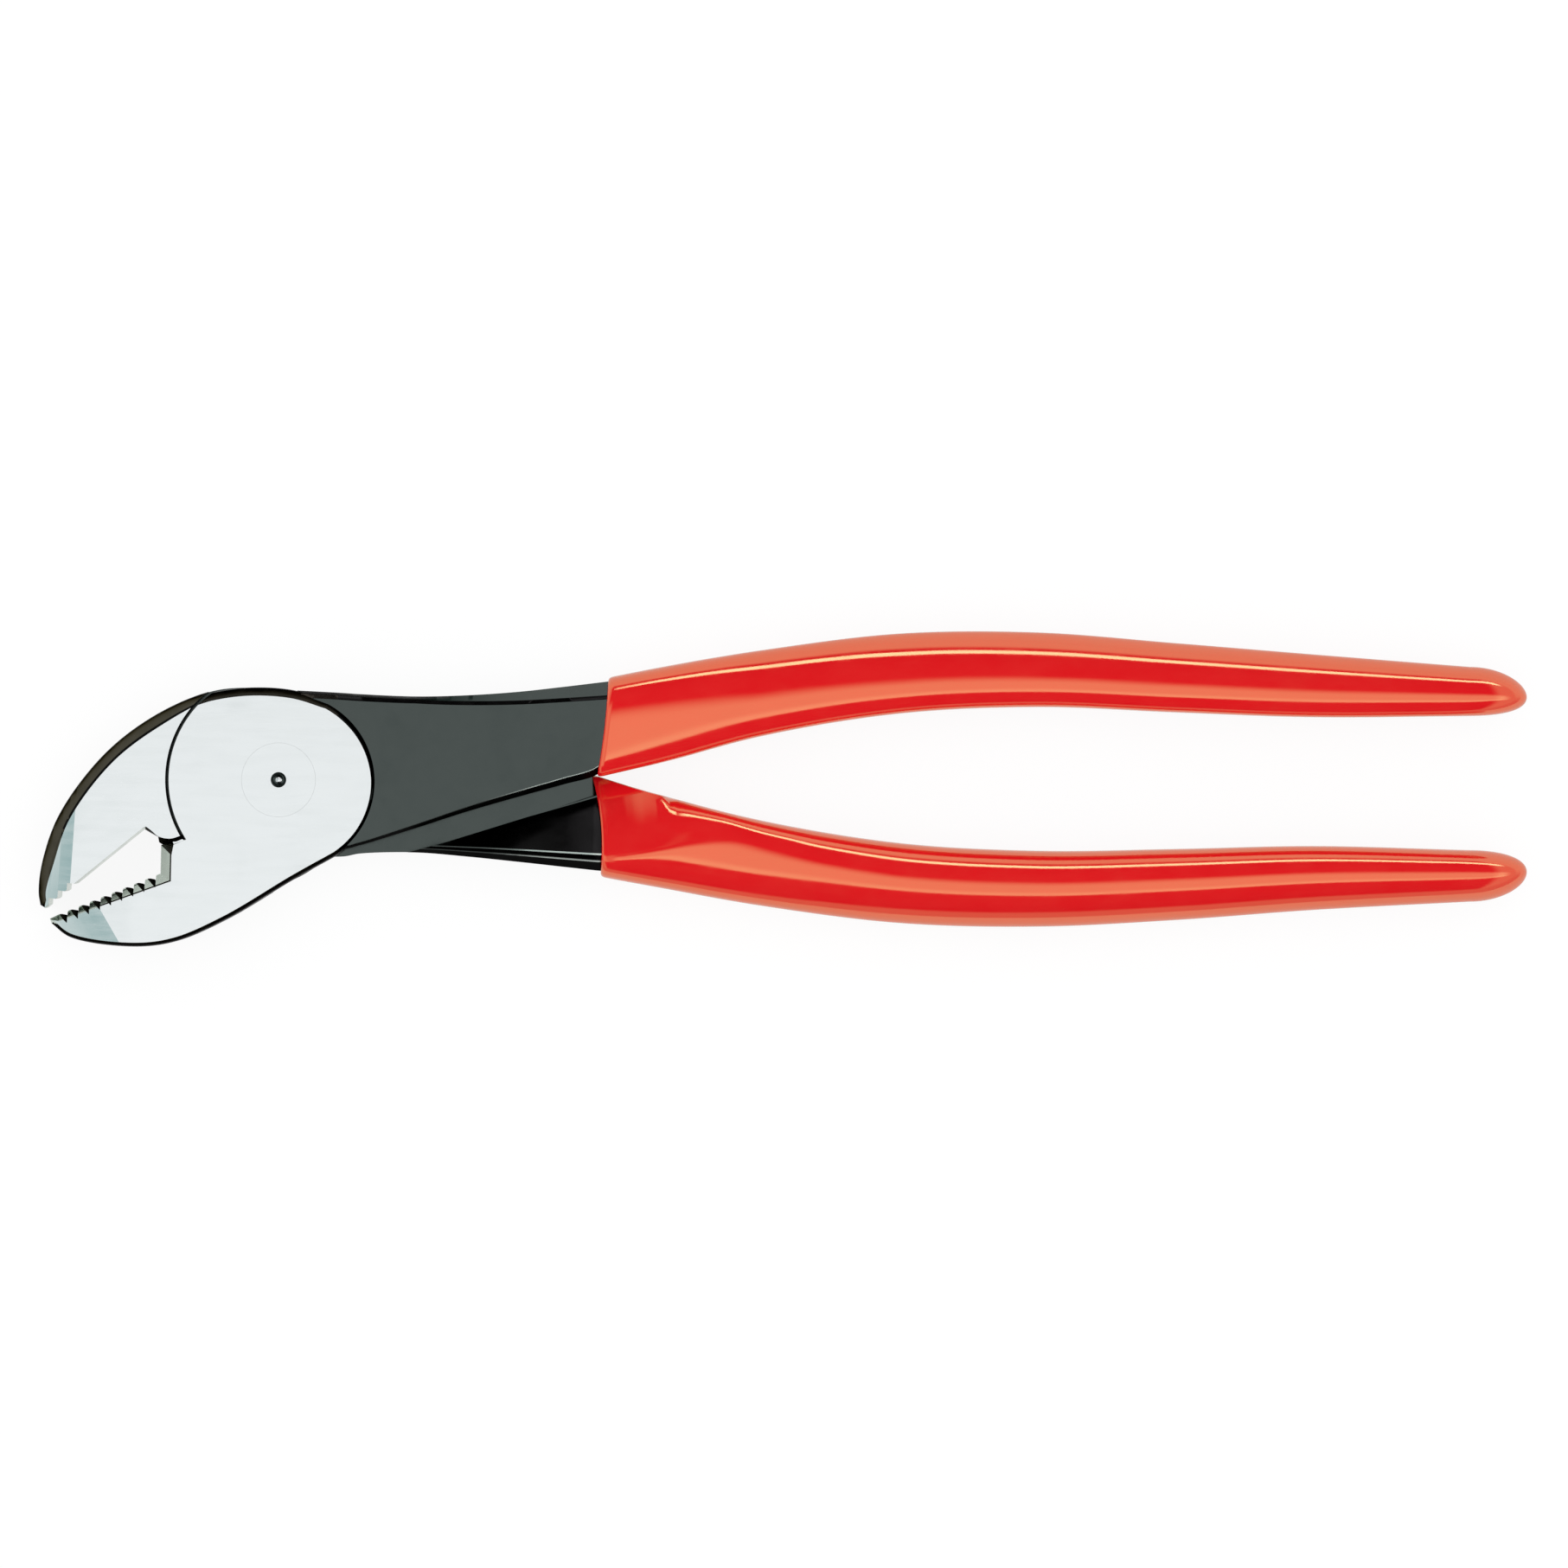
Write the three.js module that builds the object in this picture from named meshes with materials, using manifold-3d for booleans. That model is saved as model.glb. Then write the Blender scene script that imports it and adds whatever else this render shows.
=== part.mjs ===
// Battery pliers with a riveted lap joint and dipped grips, about 250 mm long.
// Millimetres, +Z up. The tool lies flat: the pivot axis is Z, the handles run along +X and the rear
// face of the head is the plane z = 0, so the origin is the middle of the rivet's rear face.
import * as THREE from 'three';
import { mergeVertices } from 'three/addons/utils/BufferGeometryUtils.js';
import Module from 'manifold-3d';

const wasm = await Module();
wasm.setup();

// Head: two lapped plates that turn against round shoulders
const HEAD_THICKNESS = 12;
const JOINT_RADIUS = 18.7;
const JOINT_CLEARANCE = 0.3;
const SEAM_TOP_DEG = 128;
const THROAT_DEG = 212.9;
const HEEL_DEG = 210;
const SHOULDER_END_DEG = 262;

// Polished boss behind the pivot, and the bevelled rims of the plates
const BOSS_RADIUS = 15;
const BOSS_BEHIND_PIVOT = 1.3;
const BOSS_OFF_AXIS = -0.2;
const BOSS_FROM_DEG = -57;
const BOSS_TO_DEG = 62;
const RIM_DEPTH = 3;
const BOSS_RIM = 0.6;
const DISC_RIM = 1.4;
const UPPER_JAW_RIM = 2.1;
const LOWER_JAW_RIM = 0.6;
const MOUTH_CHAMFER = 1.9;

// Rivet with flush heads and one punched centre mark
const RIVET_RADIUS = 4;
const RIVET_HEAD_RADIUS = 6.2;
const RIVET_HEAD_DEPTH = 2.2;
const RIVET_CLEARANCE = 0.1;
const MARK_RADIUS = 1.25;
const MARK_FLOOR_RADIUS = 0.45;
const MARK_DEPTH = 0.6;

// Teeth, cut as notches across the bite lines
const TOOTH_PITCH = 2;
const TOOTH_LAND = 0.3;
const LOWER_TOOTH_DEPTH = 1.4;
const UPPER_TOOTH_DEPTH = 0.9;
const UPPER_TEETH = 3;
const BITE_MARGIN = 0.6;

// Jaw edges as [x, y]: bite lines from the throat out to the tip, outer edges, heel and throat
const LOWER_BITE = [[-19.9, -15.7], [-37.3, -22.7]];
const UPPER_BITE = [[-22.8, -8.2], [-39.2, -21.5]];
const LOWER_JAW_EDGE = [[-38.2, -24.1], [-35.1, -26.4], [-25.0, -28.0], [-17.7, -27.2], [-9.0, -23.5]];
const LOWER_JAW_TIP = [-38.5, -23.3];
const UPPER_JAW_EDGE = [[-20.6, 11.0], [-29.3, 4.4], [-36.9, -5.7], [-39.8, -13.8]];
const UPPER_JAW_TIP = [[-40.4, -18.8], [-40.1, -21.0]];
const HEEL = [[-21.4, -9.0], [-20.2, -9.6], [-18.2, -9.9]];
const THROAT_TOP = [-18.1, -11.0];
const THROAT_WALL_HEIGHT = 3.1;
const DISC_TOP_EDGE = [[2.6, 15.0], [-4.7, 15.5]];
const SEAM_TOP = [-11.4, 14.9];
const DISC_BOTTOM_EDGE = [[2.6, -16.6]];

// Shanks inside the head and tangs inside the grips
const TANG_THICKNESS = 9.2;
const TANG_TIP_THICKNESS = 7.2;
const TANG_END = 198;
const TAPER_START = 130;
const SHANK_BEVEL = 1.2;
const TANG_BEVEL = 3;
const BEVEL_HEIGHT = 2.4;
const BEVEL_FROM = 22.9;
const BEVEL_TO = 54.8;
const INNER_BEVEL = 1.1;
const INNER_TANG_BEVEL = 2.4;
const INNER_BEVEL_FROM = 50;
const INNER_BEVEL_TO = 85;

// Lap step: the shank is half as thick where the other shank crosses it
const LAP_STEP_FROM = [28.7, 9.9];
const LAP_STEP_TO = [53.3, 4.9];
const LAP_START = 8;
const LAP_RISE_FROM = 47;
const LAP_RISE_TO = 53.3;
const LAP_RISE = 1.25;
const LAP_END = 64;

// Dipped grips
const GRIP_WALL = 1.4;
const GRIP_CLEARANCE = 0.3;
const GRIP_TIP_LENGTH = 9.6;
const MOUTH_SQUARENESS = 5;
const GRIP_SQUARENESS = 2.6;
const SQUARE_TO = 56;
const ROUND_FROM = 85;
const CROTCH_NOTCH_FROM = [49, 4.4];
const CROTCH_NOTCH_TO = [62, 1.9];

// Grip edges as [along the handle, inner edge, outer edge], and the last point of each tip
const UPPER_GRIP_EDGES = [
  [49, -0.4, 16.3], [53.3, 0.4, 17.0], [63.5, 2.6, 18.9], [80.9, 7.3, 21.8], [104.1, 11.1, 24.6],
  [127.3, 12.2, 24.8], [150.5, 11.3, 23.0], [173.7, 10.5, 21.1], [200, 10.7, 19.0],
];
const LOWER_GRIP_EDGES = [
  [49, 1.1, -15.3], [53.3, 0.2, -16.2], [63.5, -2.3, -18.1], [80.9, -6.8, -21.2], [104.1, -10.6, -24.1],
  [127.3, -11.9, -24.7], [150.5, -11.6, -23.6], [173.7, -11.1, -21.9], [200, -11.8, -20.5],
];
const UPPER_GRIP_TIP = 13.9;
const LOWER_GRIP_TIP = -15.5;

// Grip mouths, where the dip ends across the shank
const UPPER_MOUTH = [[53.2, -2], [54.3, 6], [55.3, 13], [55.4, 20]];
const LOWER_MOUTH = [[52.2, 2], [53.4, -5], [54.5, -11.5], [53.4, -19]];

// Shank edges as [along the handle, inner edge, outer edge], up to the grip mouths
const FRONT_SHANK_EDGES = [
  [3, -9.5, 15.0], [10.5, -11.6, 14.6], [13.4, -11.0, 14.4], [22.9, -8.1, 14.0], [31.6, -5.3, 14.2],
  [40.3, -2.8, 14.8], [48, -0.7, 15.7], [53, 0.7, 16.2], [54.6, 2.3, 16.1],
];
const REAR_SHANK_EDGES = [
  [3, 9.5, -12.6], [10.5, 11.6, -12.9], [13.4, 11.0, -12.4], [22.9, 8.1, -12.2], [31.6, 5.3, -12.9],
  [40.3, 2.8, -13.8], [48, 1.2, -14.7], [53, 0.6, -15.2], [54.6, -1.5, -15.0],
];

// Fineness of the round and curved stretches
const ROUND_SIDES = 48;
const ARC_STEP_DEG = 4;
const STEPS_PER_POINT = 4;
const GRIP_SIDES = 20;
const TIP_RINGS = 7;
const TIP_CLOSE_DEG = 87;

const MID = HEAD_THICKNESS / 2;
const SHOULDER_INNER = JOINT_RADIUS - JOINT_CLEARANCE / 2;
const SHOULDER_OUTER = JOINT_RADIUS + JOINT_CLEARANCE / 2;
const OVERSHOOT = 1;
const FAR = 3 * JOINT_RADIUS;

const radians = THREE.MathUtils.degToRad;

// How far x has come from one end to the other, between 0 and 1
function share(x, from, to) {
  return THREE.MathUtils.clamp((x - from) / (to - from), 0, 1);
}

// Height of the straight line through two points, at x
function lineAt([x0, y0], [x1, y1], x) {
  return y0 + (y1 - y0) * (x - x0) / (x1 - x0);
}

// Points of a smooth curve through [a, b, c] triples
function smooth(points) {
  const knots = points.map(([a, b, c = 0]) => new THREE.Vector3(a, b, c));
  const curve = new THREE.CatmullRomCurve3(knots, false, 'centripetal');
  return curve.getPoints(STEPS_PER_POINT * (knots.length - 1));
}

// Points of a round stretch; the third value is the width of the rim there
function arc(cx, cy, radius, fromDeg, toDeg, rim) {
  const steps = Math.ceil((toDeg - fromDeg) / ARC_STEP_DEG);
  const points = [];
  for (let i = 0; i <= steps; i++) {
    const angle = radians(fromDeg + (toDeg - fromDeg) * i / steps);
    points.push(new THREE.Vector3(cx + radius * Math.cos(angle), cy + radius * Math.sin(angle), rim));
  }
  return points;
}

// Closed geometry from rings of equally many points, with both ends capped
function ringsToGeometry(rings) {
  const count = rings[0].length;
  const flat = rings[0].map((p) => new THREE.Vector2(p.u, p.v));
  const clockwise = THREE.ShapeUtils.isClockWise(flat);
  const faces = THREE.ShapeUtils.triangulateShape(flat, []);
  const caps = faces.map(([a, b, c]) => (clockwise ? [a, c, b] : [a, b, c]));
  const positions = rings.flatMap((ring) => ring.flatMap((p) => p.at));
  const index = [];
  for (let r = 0; r + 1 < rings.length; r++) {
    for (let i = 0; i < count; i++) {
      const j = (i + 1) % count;
      const a = r * count + i;
      const b = r * count + j;
      index.push(a, b, b + count, a, b + count, a + count);
    }
  }
  const last = (rings.length - 1) * count;
  caps.forEach(([a, b, c]) => index.push(a, c, b, a + last, b + last, c + last));
  const geometry = new THREE.BufferGeometry();
  geometry.setAttribute('position', new THREE.Float32BufferAttribute(positions, 3));
  geometry.setIndex(index);
  return geometry;
}

// Solid for joining and cutting, turned right side out
function solid(geometry) {
  const bare = geometry.clone();
  bare.deleteAttribute('normal');
  bare.deleteAttribute('uv');
  const merged = mergeVertices(bare, 1e-4);
  const vertProperties = new Float32Array(merged.attributes.position.array);
  const triVerts = new Uint32Array(merged.index.array);
  let volume = 0;
  const [a, b, c] = [new THREE.Vector3(), new THREE.Vector3(), new THREE.Vector3()];
  for (let i = 0; i < triVerts.length; i += 3) {
    a.fromArray(vertProperties, 3 * triVerts[i]);
    b.fromArray(vertProperties, 3 * triVerts[i + 1]);
    c.fromArray(vertProperties, 3 * triVerts[i + 2]);
    volume += a.dot(b.cross(c));
  }
  if (volume < 0) {
    triVerts.reverse();
  }
  return new wasm.Manifold(new wasm.Mesh({ numProp: 3, vertProperties, triVerts }));
}

function geometryOf(manifold) {
  const mesh = manifold.getMesh();
  const geometry = new THREE.BufferGeometry();
  geometry.setAttribute('position', new THREE.BufferAttribute(new Float32Array(mesh.vertProperties), 3));
  geometry.setIndex(new THREE.BufferAttribute(new Uint32Array(mesh.triVerts), 1));
  geometry.computeVertexNormals();
  return geometry;
}

// The rear half is laid out as the front half turned over about the X axis
function turnedOver(geometry) {
  return geometry.rotateX(Math.PI).translate(0, 0, HEAD_THICKNESS);
}

function prism(points, zFrom, zTo) {
  const shape = new THREE.Shape(points.map(([x, y]) => new THREE.Vector2(x, y)));
  const geometry = new THREE.ExtrudeGeometry(shape, { depth: zTo - zFrom, bevelEnabled: false });
  return geometry.translate(0, 0, zFrom);
}

function upright(profile) {
  const points = profile.map(([radius, z]) => new THREE.Vector2(radius, z));
  return new THREE.LatheGeometry(points, ROUND_SIDES).rotateX(Math.PI / 2);
}

function cylinder(radius, zFrom, zTo) {
  return upright([[0, zFrom], [radius, zFrom], [radius, zTo], [0, zTo]]);
}

// Plate of the head's thickness whose faces stand back from the outline by each point's rim width
function bevelledPlate(outline) {
  const apart = 1e-3;
  const points = outline.filter((p, i) => p.distanceTo(outline.at(i - 1)) > apart);
  const inset = points.map((p, i) => {
    const before = points.at(i - 1);
    const after = points[(i + 1) % points.length];
    const inDirection = new THREE.Vector2(p.x - before.x, p.y - before.y).normalize();
    const outDirection = new THREE.Vector2(after.x - p.x, after.y - p.y).normalize();
    const along = inDirection.clone().add(outDirection).normalize();
    const stretch = 1 / Math.max(along.dot(outDirection), 0.5);
    return [p.x - along.y * p.z * stretch, p.y + along.x * p.z * stretch];
  });
  const full = points.map((p) => [p.x, p.y]);
  const levels = [
    [inset, 0], [full, RIM_DEPTH], [full, HEAD_THICKNESS - RIM_DEPTH], [inset, HEAD_THICKNESS],
  ];
  return ringsToGeometry(levels.map(([ring, z]) => ring.map(([x, y]) => ({ u: x, v: y, at: [x, y, z] }))));
}

// Outline points with one rim width
const rimmed = (points, rim) => points.map(([x, y]) => [x, y, rim]);
const vectors = (points) => points.map((p) => new THREE.Vector3(...p));

// Round edge behind the pivot, for the front plate (side 1) or the rear plate (side -1)
function bossArc(side) {
  const [from, to] = side > 0 ? [BOSS_FROM_DEG, BOSS_TO_DEG] : [-BOSS_TO_DEG, -BOSS_FROM_DEG];
  return arc(BOSS_BEHIND_PIVOT, side * BOSS_OFF_AXIS, BOSS_RADIUS, from, to, BOSS_RIM);
}

// Lower jaw and front disc, anticlockwise from the top of the seam
function frontOutline() {
  const [biteStart, biteEnd] = LOWER_BITE;
  const seam = arc(0, 0, SHOULDER_INNER, SEAM_TOP_DEG, THROAT_DEG, 0);
  const throatWall = [biteStart[0], biteStart[1] + THROAT_WALL_HEIGHT];
  const mouth = [
    ...rimmed([THROAT_TOP], LOWER_JAW_RIM), ...rimmed([throatWall, biteStart, biteEnd], MOUTH_CHAMFER),
    ...rimmed([LOWER_JAW_TIP], LOWER_JAW_RIM),
  ];
  const boss = bossArc(1);
  const jaw = smooth([...rimmed([...LOWER_JAW_EDGE, ...DISC_BOTTOM_EDGE], LOWER_JAW_RIM), boss[0].toArray()]);
  const top = smooth([boss.at(-1).toArray(), ...rimmed([...DISC_TOP_EDGE, [seam[0].x, seam[0].y]], DISC_RIM)]);
  return [...seam, ...vectors(mouth), ...jaw, ...boss, ...top.slice(0, -1)];
}

// Upper jaw and rear disc, anticlockwise from the end of the boss
function rearOutline() {
  const boss = bossArc(-1);
  const top = rimmed([...DISC_TOP_EDGE, SEAM_TOP], DISC_RIM);
  const [tipSide, tipEnd] = UPPER_JAW_TIP;
  const tip = [...rimmed([tipSide], DISC_RIM), ...rimmed([tipEnd], 0)];
  const jaw = smooth([boss.at(-1).toArray(), ...top, ...rimmed(UPPER_JAW_EDGE, UPPER_JAW_RIM), ...tip]);
  const mouth = rimmed([...UPPER_BITE.toReversed(), ...HEEL], 0);
  const shoulder = arc(0, 0, SHOULDER_INNER, HEEL_DEG, SHOULDER_END_DEG, 0);
  const below = smooth([
    shoulder.at(-1).toArray(), ...rimmed(DISC_BOTTOM_EDGE, LOWER_JAW_RIM), boss[0].toArray(),
  ]);
  return [...jaw, ...vectors(mouth), ...shoulder, ...below, ...boss];
}

// Half of a tang's thickness, which tapers towards the end of the handle
function halfThickness(x) {
  return THREE.MathUtils.lerp(TANG_THICKNESS, TANG_TIP_THICKNESS, share(x, TAPER_START, TANG_END)) / 2;
}

// Tang edges: a wall's width inside the grip's edges, after the bare shank
function tangEdges(shankEdges, gripEdges) {
  const side = Math.sign(gripEdges[0][2]);
  const inGrip = gripEdges.filter(([x]) => x > LAP_RISE_TO && x < TANG_END);
  const [x0, inner0, outer0] = gripEdges.at(-1);
  const covered = [...inGrip, [Math.min(x0, TANG_END), inner0, outer0]];
  const tang = covered.map(([x, inner, outer]) => [x, inner + side * GRIP_WALL, outer - side * GRIP_WALL]);
  return [...shankEdges, ...tang];
}

// Shank and tang as one bar with bevelled edges; grow makes the larger bar that a grip's hollow follows
function bar(edges, grow) {
  const rings = smooth(edges).map(({ x, y: inner, z: outer }, i, { length }) => {
    const side = Math.sign(outer - inner);
    const slim = Math.min(1, Math.abs(outer - inner) / (2 * (TANG_BEVEL + INNER_BEVEL)));
    const bevel = slim * THREE.MathUtils.lerp(SHANK_BEVEL, TANG_BEVEL, share(x, BEVEL_FROM, BEVEL_TO));
    const tuck = share(x, INNER_BEVEL_FROM, INNER_BEVEL_TO);
    const innerBevel = slim * THREE.MathUtils.lerp(INNER_BEVEL, INNER_TANG_BEVEL, tuck);
    const half = halfThickness(x) + grow;
    const wall = half - slim * BEVEL_HEIGHT;
    const innerWall = half - slim * Math.min(innerBevel, BEVEL_HEIGHT);
    const low = inner - side * grow;
    const high = outer + side * grow;
    const section = [
      [low, -innerWall], [low + side * innerBevel, -half], [high - side * bevel, -half], [high, -wall],
      [high, wall], [high - side * bevel, half], [low + side * innerBevel, half], [low, innerWall],
    ];
    const end = i === length - 1 ? x + grow : x;
    return section.map(([y, z]) => ({ u: y, v: z, at: [end, y, MID + z] }));
  });
  return ringsToGeometry(rings);
}

// Space that the other shank sweeps, below the front shank; grow narrows it for a grip's hollow
function lapStep(grow) {
  const rings = [LAP_START, LAP_RISE_FROM, LAP_RISE_TO, LAP_END].map((x) => {
    const edge = lineAt(LAP_STEP_FROM, LAP_STEP_TO, x) - grow;
    const rise = LAP_RISE * share(x, LAP_RISE_FROM, LAP_RISE_TO);
    const ceiling = MID + JOINT_CLEARANCE / 2 + rise - grow;
    const section = [[-FAR, -OVERSHOOT], [edge, -OVERSHOOT], [edge, ceiling], [-FAR, ceiling]];
    return section.map(([y, z]) => ({ u: y, v: z, at: [x, y, z] }));
  });
  return ringsToGeometry(rings);
}

// V-shaped notches across a bite line, from a start along the line, cut into the jaw on one side
function notches([from, to], start, count, depth, side) {
  const line = new THREE.Vector2(to[0] - from[0], to[1] - from[1]).normalize();
  const into = new THREE.Vector2(-line.y, line.x).multiplyScalar(side);
  const at = (along, deep) => [
    from[0] + line.x * along + into.x * deep, from[1] + line.y * along + into.y * deep,
  ];
  const half = (TOOTH_PITCH - TOOTH_LAND) / 2;
  const lean = half / depth;
  let all = null;
  for (let i = 0; i < count; i++) {
    const middle = start + (i + 0.5) * TOOTH_PITCH;
    const open = half + lean * TOOTH_LAND / 4;
    const corners = [at(middle - open, -TOOTH_LAND / 4), at(middle + open, -TOOTH_LAND / 4), at(middle, depth)];
    const notch = solid(prism(corners, -OVERSHOOT, HEAD_THICKNESS + OVERSHOOT));
    all = all ? all.add(notch) : notch;
  }
  return all;
}

const biteLength = ([from, to]) => Math.hypot(to[0] - from[0], to[1] - from[1]);

// Rivet profile from its rear face to its front face, and the stepped hole that it fills
const rivetProfile = [
  [0, 0], [RIVET_HEAD_RADIUS, 0], [RIVET_RADIUS, RIVET_HEAD_DEPTH],
  [RIVET_RADIUS, HEAD_THICKNESS - RIVET_HEAD_DEPTH], [RIVET_HEAD_RADIUS, HEAD_THICKNESS],
  [MARK_RADIUS, HEAD_THICKNESS], [MARK_FLOOR_RADIUS, HEAD_THICKNESS - MARK_DEPTH],
  [0, HEAD_THICKNESS - MARK_DEPTH],
];
const holeHead = RIVET_HEAD_RADIUS + RIVET_CLEARANCE;
const holeBore = RIVET_RADIUS + RIVET_CLEARANCE;
const rivetHole = solid(upright([
  [0, -OVERSHOOT], [holeHead, -OVERSHOOT], [holeHead, 0], [holeBore, RIVET_HEAD_DEPTH],
  [holeBore, HEAD_THICKNESS - RIVET_HEAD_DEPTH], [holeHead, HEAD_THICKNESS],
  [holeHead, HEAD_THICKNESS + OVERSHOOT], [0, HEAD_THICKNESS + OVERSHOOT],
]));

// Front half: lower jaw, front disc, upper shank and tang
function frontHalf() {
  const teeth = Math.floor((biteLength(LOWER_BITE) - BITE_MARGIN) / TOOTH_PITCH);
  return solid(bevelledPlate(frontOutline()))
    .add(solid(bar(tangEdges(FRONT_SHANK_EDGES, UPPER_GRIP_EDGES), 0)))
    .subtract(solid(cylinder(SHOULDER_OUTER, -OVERSHOOT, MID + JOINT_CLEARANCE / 2)))
    .subtract(solid(lapStep(0)))
    .subtract(notches(LOWER_BITE, BITE_MARGIN, teeth, LOWER_TOOTH_DEPTH, 1))
    .subtract(rivetHole);
}

// Rear half: upper jaw, rear disc, lower shank and tang
function rearHalf() {
  const start = biteLength(UPPER_BITE) - BITE_MARGIN - UPPER_TEETH * TOOTH_PITCH;
  return solid(bevelledPlate(rearOutline()))
    .add(solid(bar(tangEdges(REAR_SHANK_EDGES, LOWER_GRIP_EDGES), 0)))
    .subtract(solid(turnedOver(cylinder(SHOULDER_OUTER, -OVERSHOOT, MID + JOINT_CLEARANCE / 2))))
    .subtract(solid(turnedOver(lapStep(0))))
    .subtract(notches(UPPER_BITE, start, UPPER_TEETH, UPPER_TOOTH_DEPTH, -1))
    .subtract(rivetHole);
}

// Outside of a grip: squarish at its mouth, rounder along the hand, closed by a round tip
function gripOutside(edges, tipHeight) {
  const body = smooth(edges);
  const { x: tipStart, y: inner, z: outer } = body.at(-1);
  const tip = [];
  for (let i = 1; i <= TIP_RINGS; i++) {
    const angle = radians(TIP_CLOSE_DEG * i / TIP_RINGS);
    const reach = Math.sin(angle);
    const shrink = Math.cos(angle);
    const centre = THREE.MathUtils.lerp((inner + outer) / 2, tipHeight, reach * reach);
    const half = (outer - inner) / 2 * shrink;
    tip.push({ x: tipStart + GRIP_TIP_LENGTH * reach, y: centre - half, z: centre + half, shrink });
  }
  const rings = [...body, ...tip].map(({ x, y: low, z: high, shrink = 1 }) => {
    const round = share(x, SQUARE_TO, ROUND_FROM);
    const power = 2 / THREE.MathUtils.lerp(MOUTH_SQUARENESS, GRIP_SQUARENESS, round);
    const thick = (halfThickness(x) + GRIP_WALL) * shrink;
    const flat = Math.cos(Math.PI / GRIP_SIDES);
    const swell = (part) => Math.sign(part) * Math.abs(part / flat) ** power;
    const ring = [];
    for (let i = 0; i < GRIP_SIDES; i++) {
      const angle = 2 * Math.PI * (i + 0.5) / GRIP_SIDES;
      const across = swell(Math.cos(angle));
      const up = swell(Math.sin(angle));
      const y = (low + high) / 2 + across * (high - low) / 2;
      ring.push({ u: across, v: up, at: [x, y, MID + up * thick] });
    }
    return ring;
  });
  return ringsToGeometry(rings);
}

// What lies ahead of a grip's mouth, and the step that lets the other grip close past it
function mouthCutter(mouth) {
  const edge = smooth(mouth).map((p) => [p.x, p.y]);
  const ahead = [[-FAR, edge.at(-1)[1]], [-FAR, edge[0][1]]];
  return prism([...edge, ...ahead], -FAR, FAR);
}

function crotchNotch() {
  const [[x0], [x1]] = [CROTCH_NOTCH_FROM, CROTCH_NOTCH_TO];
  const corners = [[x0, -FAR], [x1, -FAR], CROTCH_NOTCH_TO, CROTCH_NOTCH_FROM];
  return prism(corners, -FAR, MID + JOINT_CLEARANCE / 2);
}

function upperGrip() {
  const hollow = solid(bar(tangEdges(FRONT_SHANK_EDGES, UPPER_GRIP_EDGES), GRIP_CLEARANCE))
    .subtract(solid(lapStep(GRIP_CLEARANCE)));
  return solid(gripOutside(UPPER_GRIP_EDGES, UPPER_GRIP_TIP))
    .subtract(solid(mouthCutter(UPPER_MOUTH)))
    .subtract(solid(crotchNotch()))
    .subtract(hollow);
}

function lowerGrip() {
  const hollow = solid(bar(tangEdges(REAR_SHANK_EDGES, LOWER_GRIP_EDGES), GRIP_CLEARANCE))
    .subtract(solid(turnedOver(lapStep(GRIP_CLEARANCE))));
  return solid(gripOutside(LOWER_GRIP_EDGES, LOWER_GRIP_TIP))
    .subtract(solid(mouthCutter(LOWER_MOUTH)))
    .subtract(solid(turnedOver(crotchNotch())))
    .subtract(hollow);
}

const forgedSteel = () => new THREE.MeshStandardMaterial({ color: 0x3c4442, roughness: 0.3, metalness: 0.9 });
const rivetSteel = () => new THREE.MeshStandardMaterial({ color: 0xd8dee2, roughness: 0.2, metalness: 1 });
const redVinyl = () => new THREE.MeshStandardMaterial({ color: 0xe0141e, roughness: 0.25, metalness: 0 });

const pliers = new THREE.Group();

function addPiece(name, geometry, material) {
  const mesh = new THREE.Mesh(geometry, material);
  mesh.name = name;
  pliers.add(mesh);
}

addPiece('front_half', geometryOf(frontHalf()), forgedSteel());
addPiece('rear_half', geometryOf(rearHalf()), forgedSteel());
addPiece('pivot_rivet', geometryOf(solid(upright(rivetProfile))), rivetSteel());
addPiece('upper_grip', geometryOf(upperGrip()), redVinyl());
addPiece('lower_grip', geometryOf(lowerGrip()), redVinyl());

export default pliers;
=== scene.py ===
# %% [markdown]
# # Battery pliers
# Two forged steel halves are laid over each other and held by one rivet. Each
# half has a jaw at one end of the disc and a handle at the other, dipped in red
# vinyl. The scene rebuilds every piece in fine detail around the measured frame.

import math

import bmesh
import bpy
import numpy as np
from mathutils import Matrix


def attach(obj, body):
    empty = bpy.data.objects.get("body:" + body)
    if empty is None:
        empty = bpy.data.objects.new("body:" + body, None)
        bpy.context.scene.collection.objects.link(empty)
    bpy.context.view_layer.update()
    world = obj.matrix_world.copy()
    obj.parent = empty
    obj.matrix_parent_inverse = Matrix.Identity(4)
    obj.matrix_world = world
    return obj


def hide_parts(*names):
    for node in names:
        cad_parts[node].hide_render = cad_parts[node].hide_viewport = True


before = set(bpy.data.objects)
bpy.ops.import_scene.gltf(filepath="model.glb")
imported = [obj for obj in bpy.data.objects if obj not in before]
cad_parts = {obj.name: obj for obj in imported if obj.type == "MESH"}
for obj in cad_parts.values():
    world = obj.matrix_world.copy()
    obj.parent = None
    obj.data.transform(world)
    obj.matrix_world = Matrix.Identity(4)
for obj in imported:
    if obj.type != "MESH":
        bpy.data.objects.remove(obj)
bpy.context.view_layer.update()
print("frame nodes:", sorted(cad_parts))

# %% [markdown]
# ## Curves that everything is drawn with
# A forging has few straight edges. Its outlines are smooth curves through a
# handful of measured points, so one helper makes all of them. Sizes are written
# in millimetres and turned into metres when a mesh is made.

# %% Smooth curves and arcs
MM = 0.001


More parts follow.
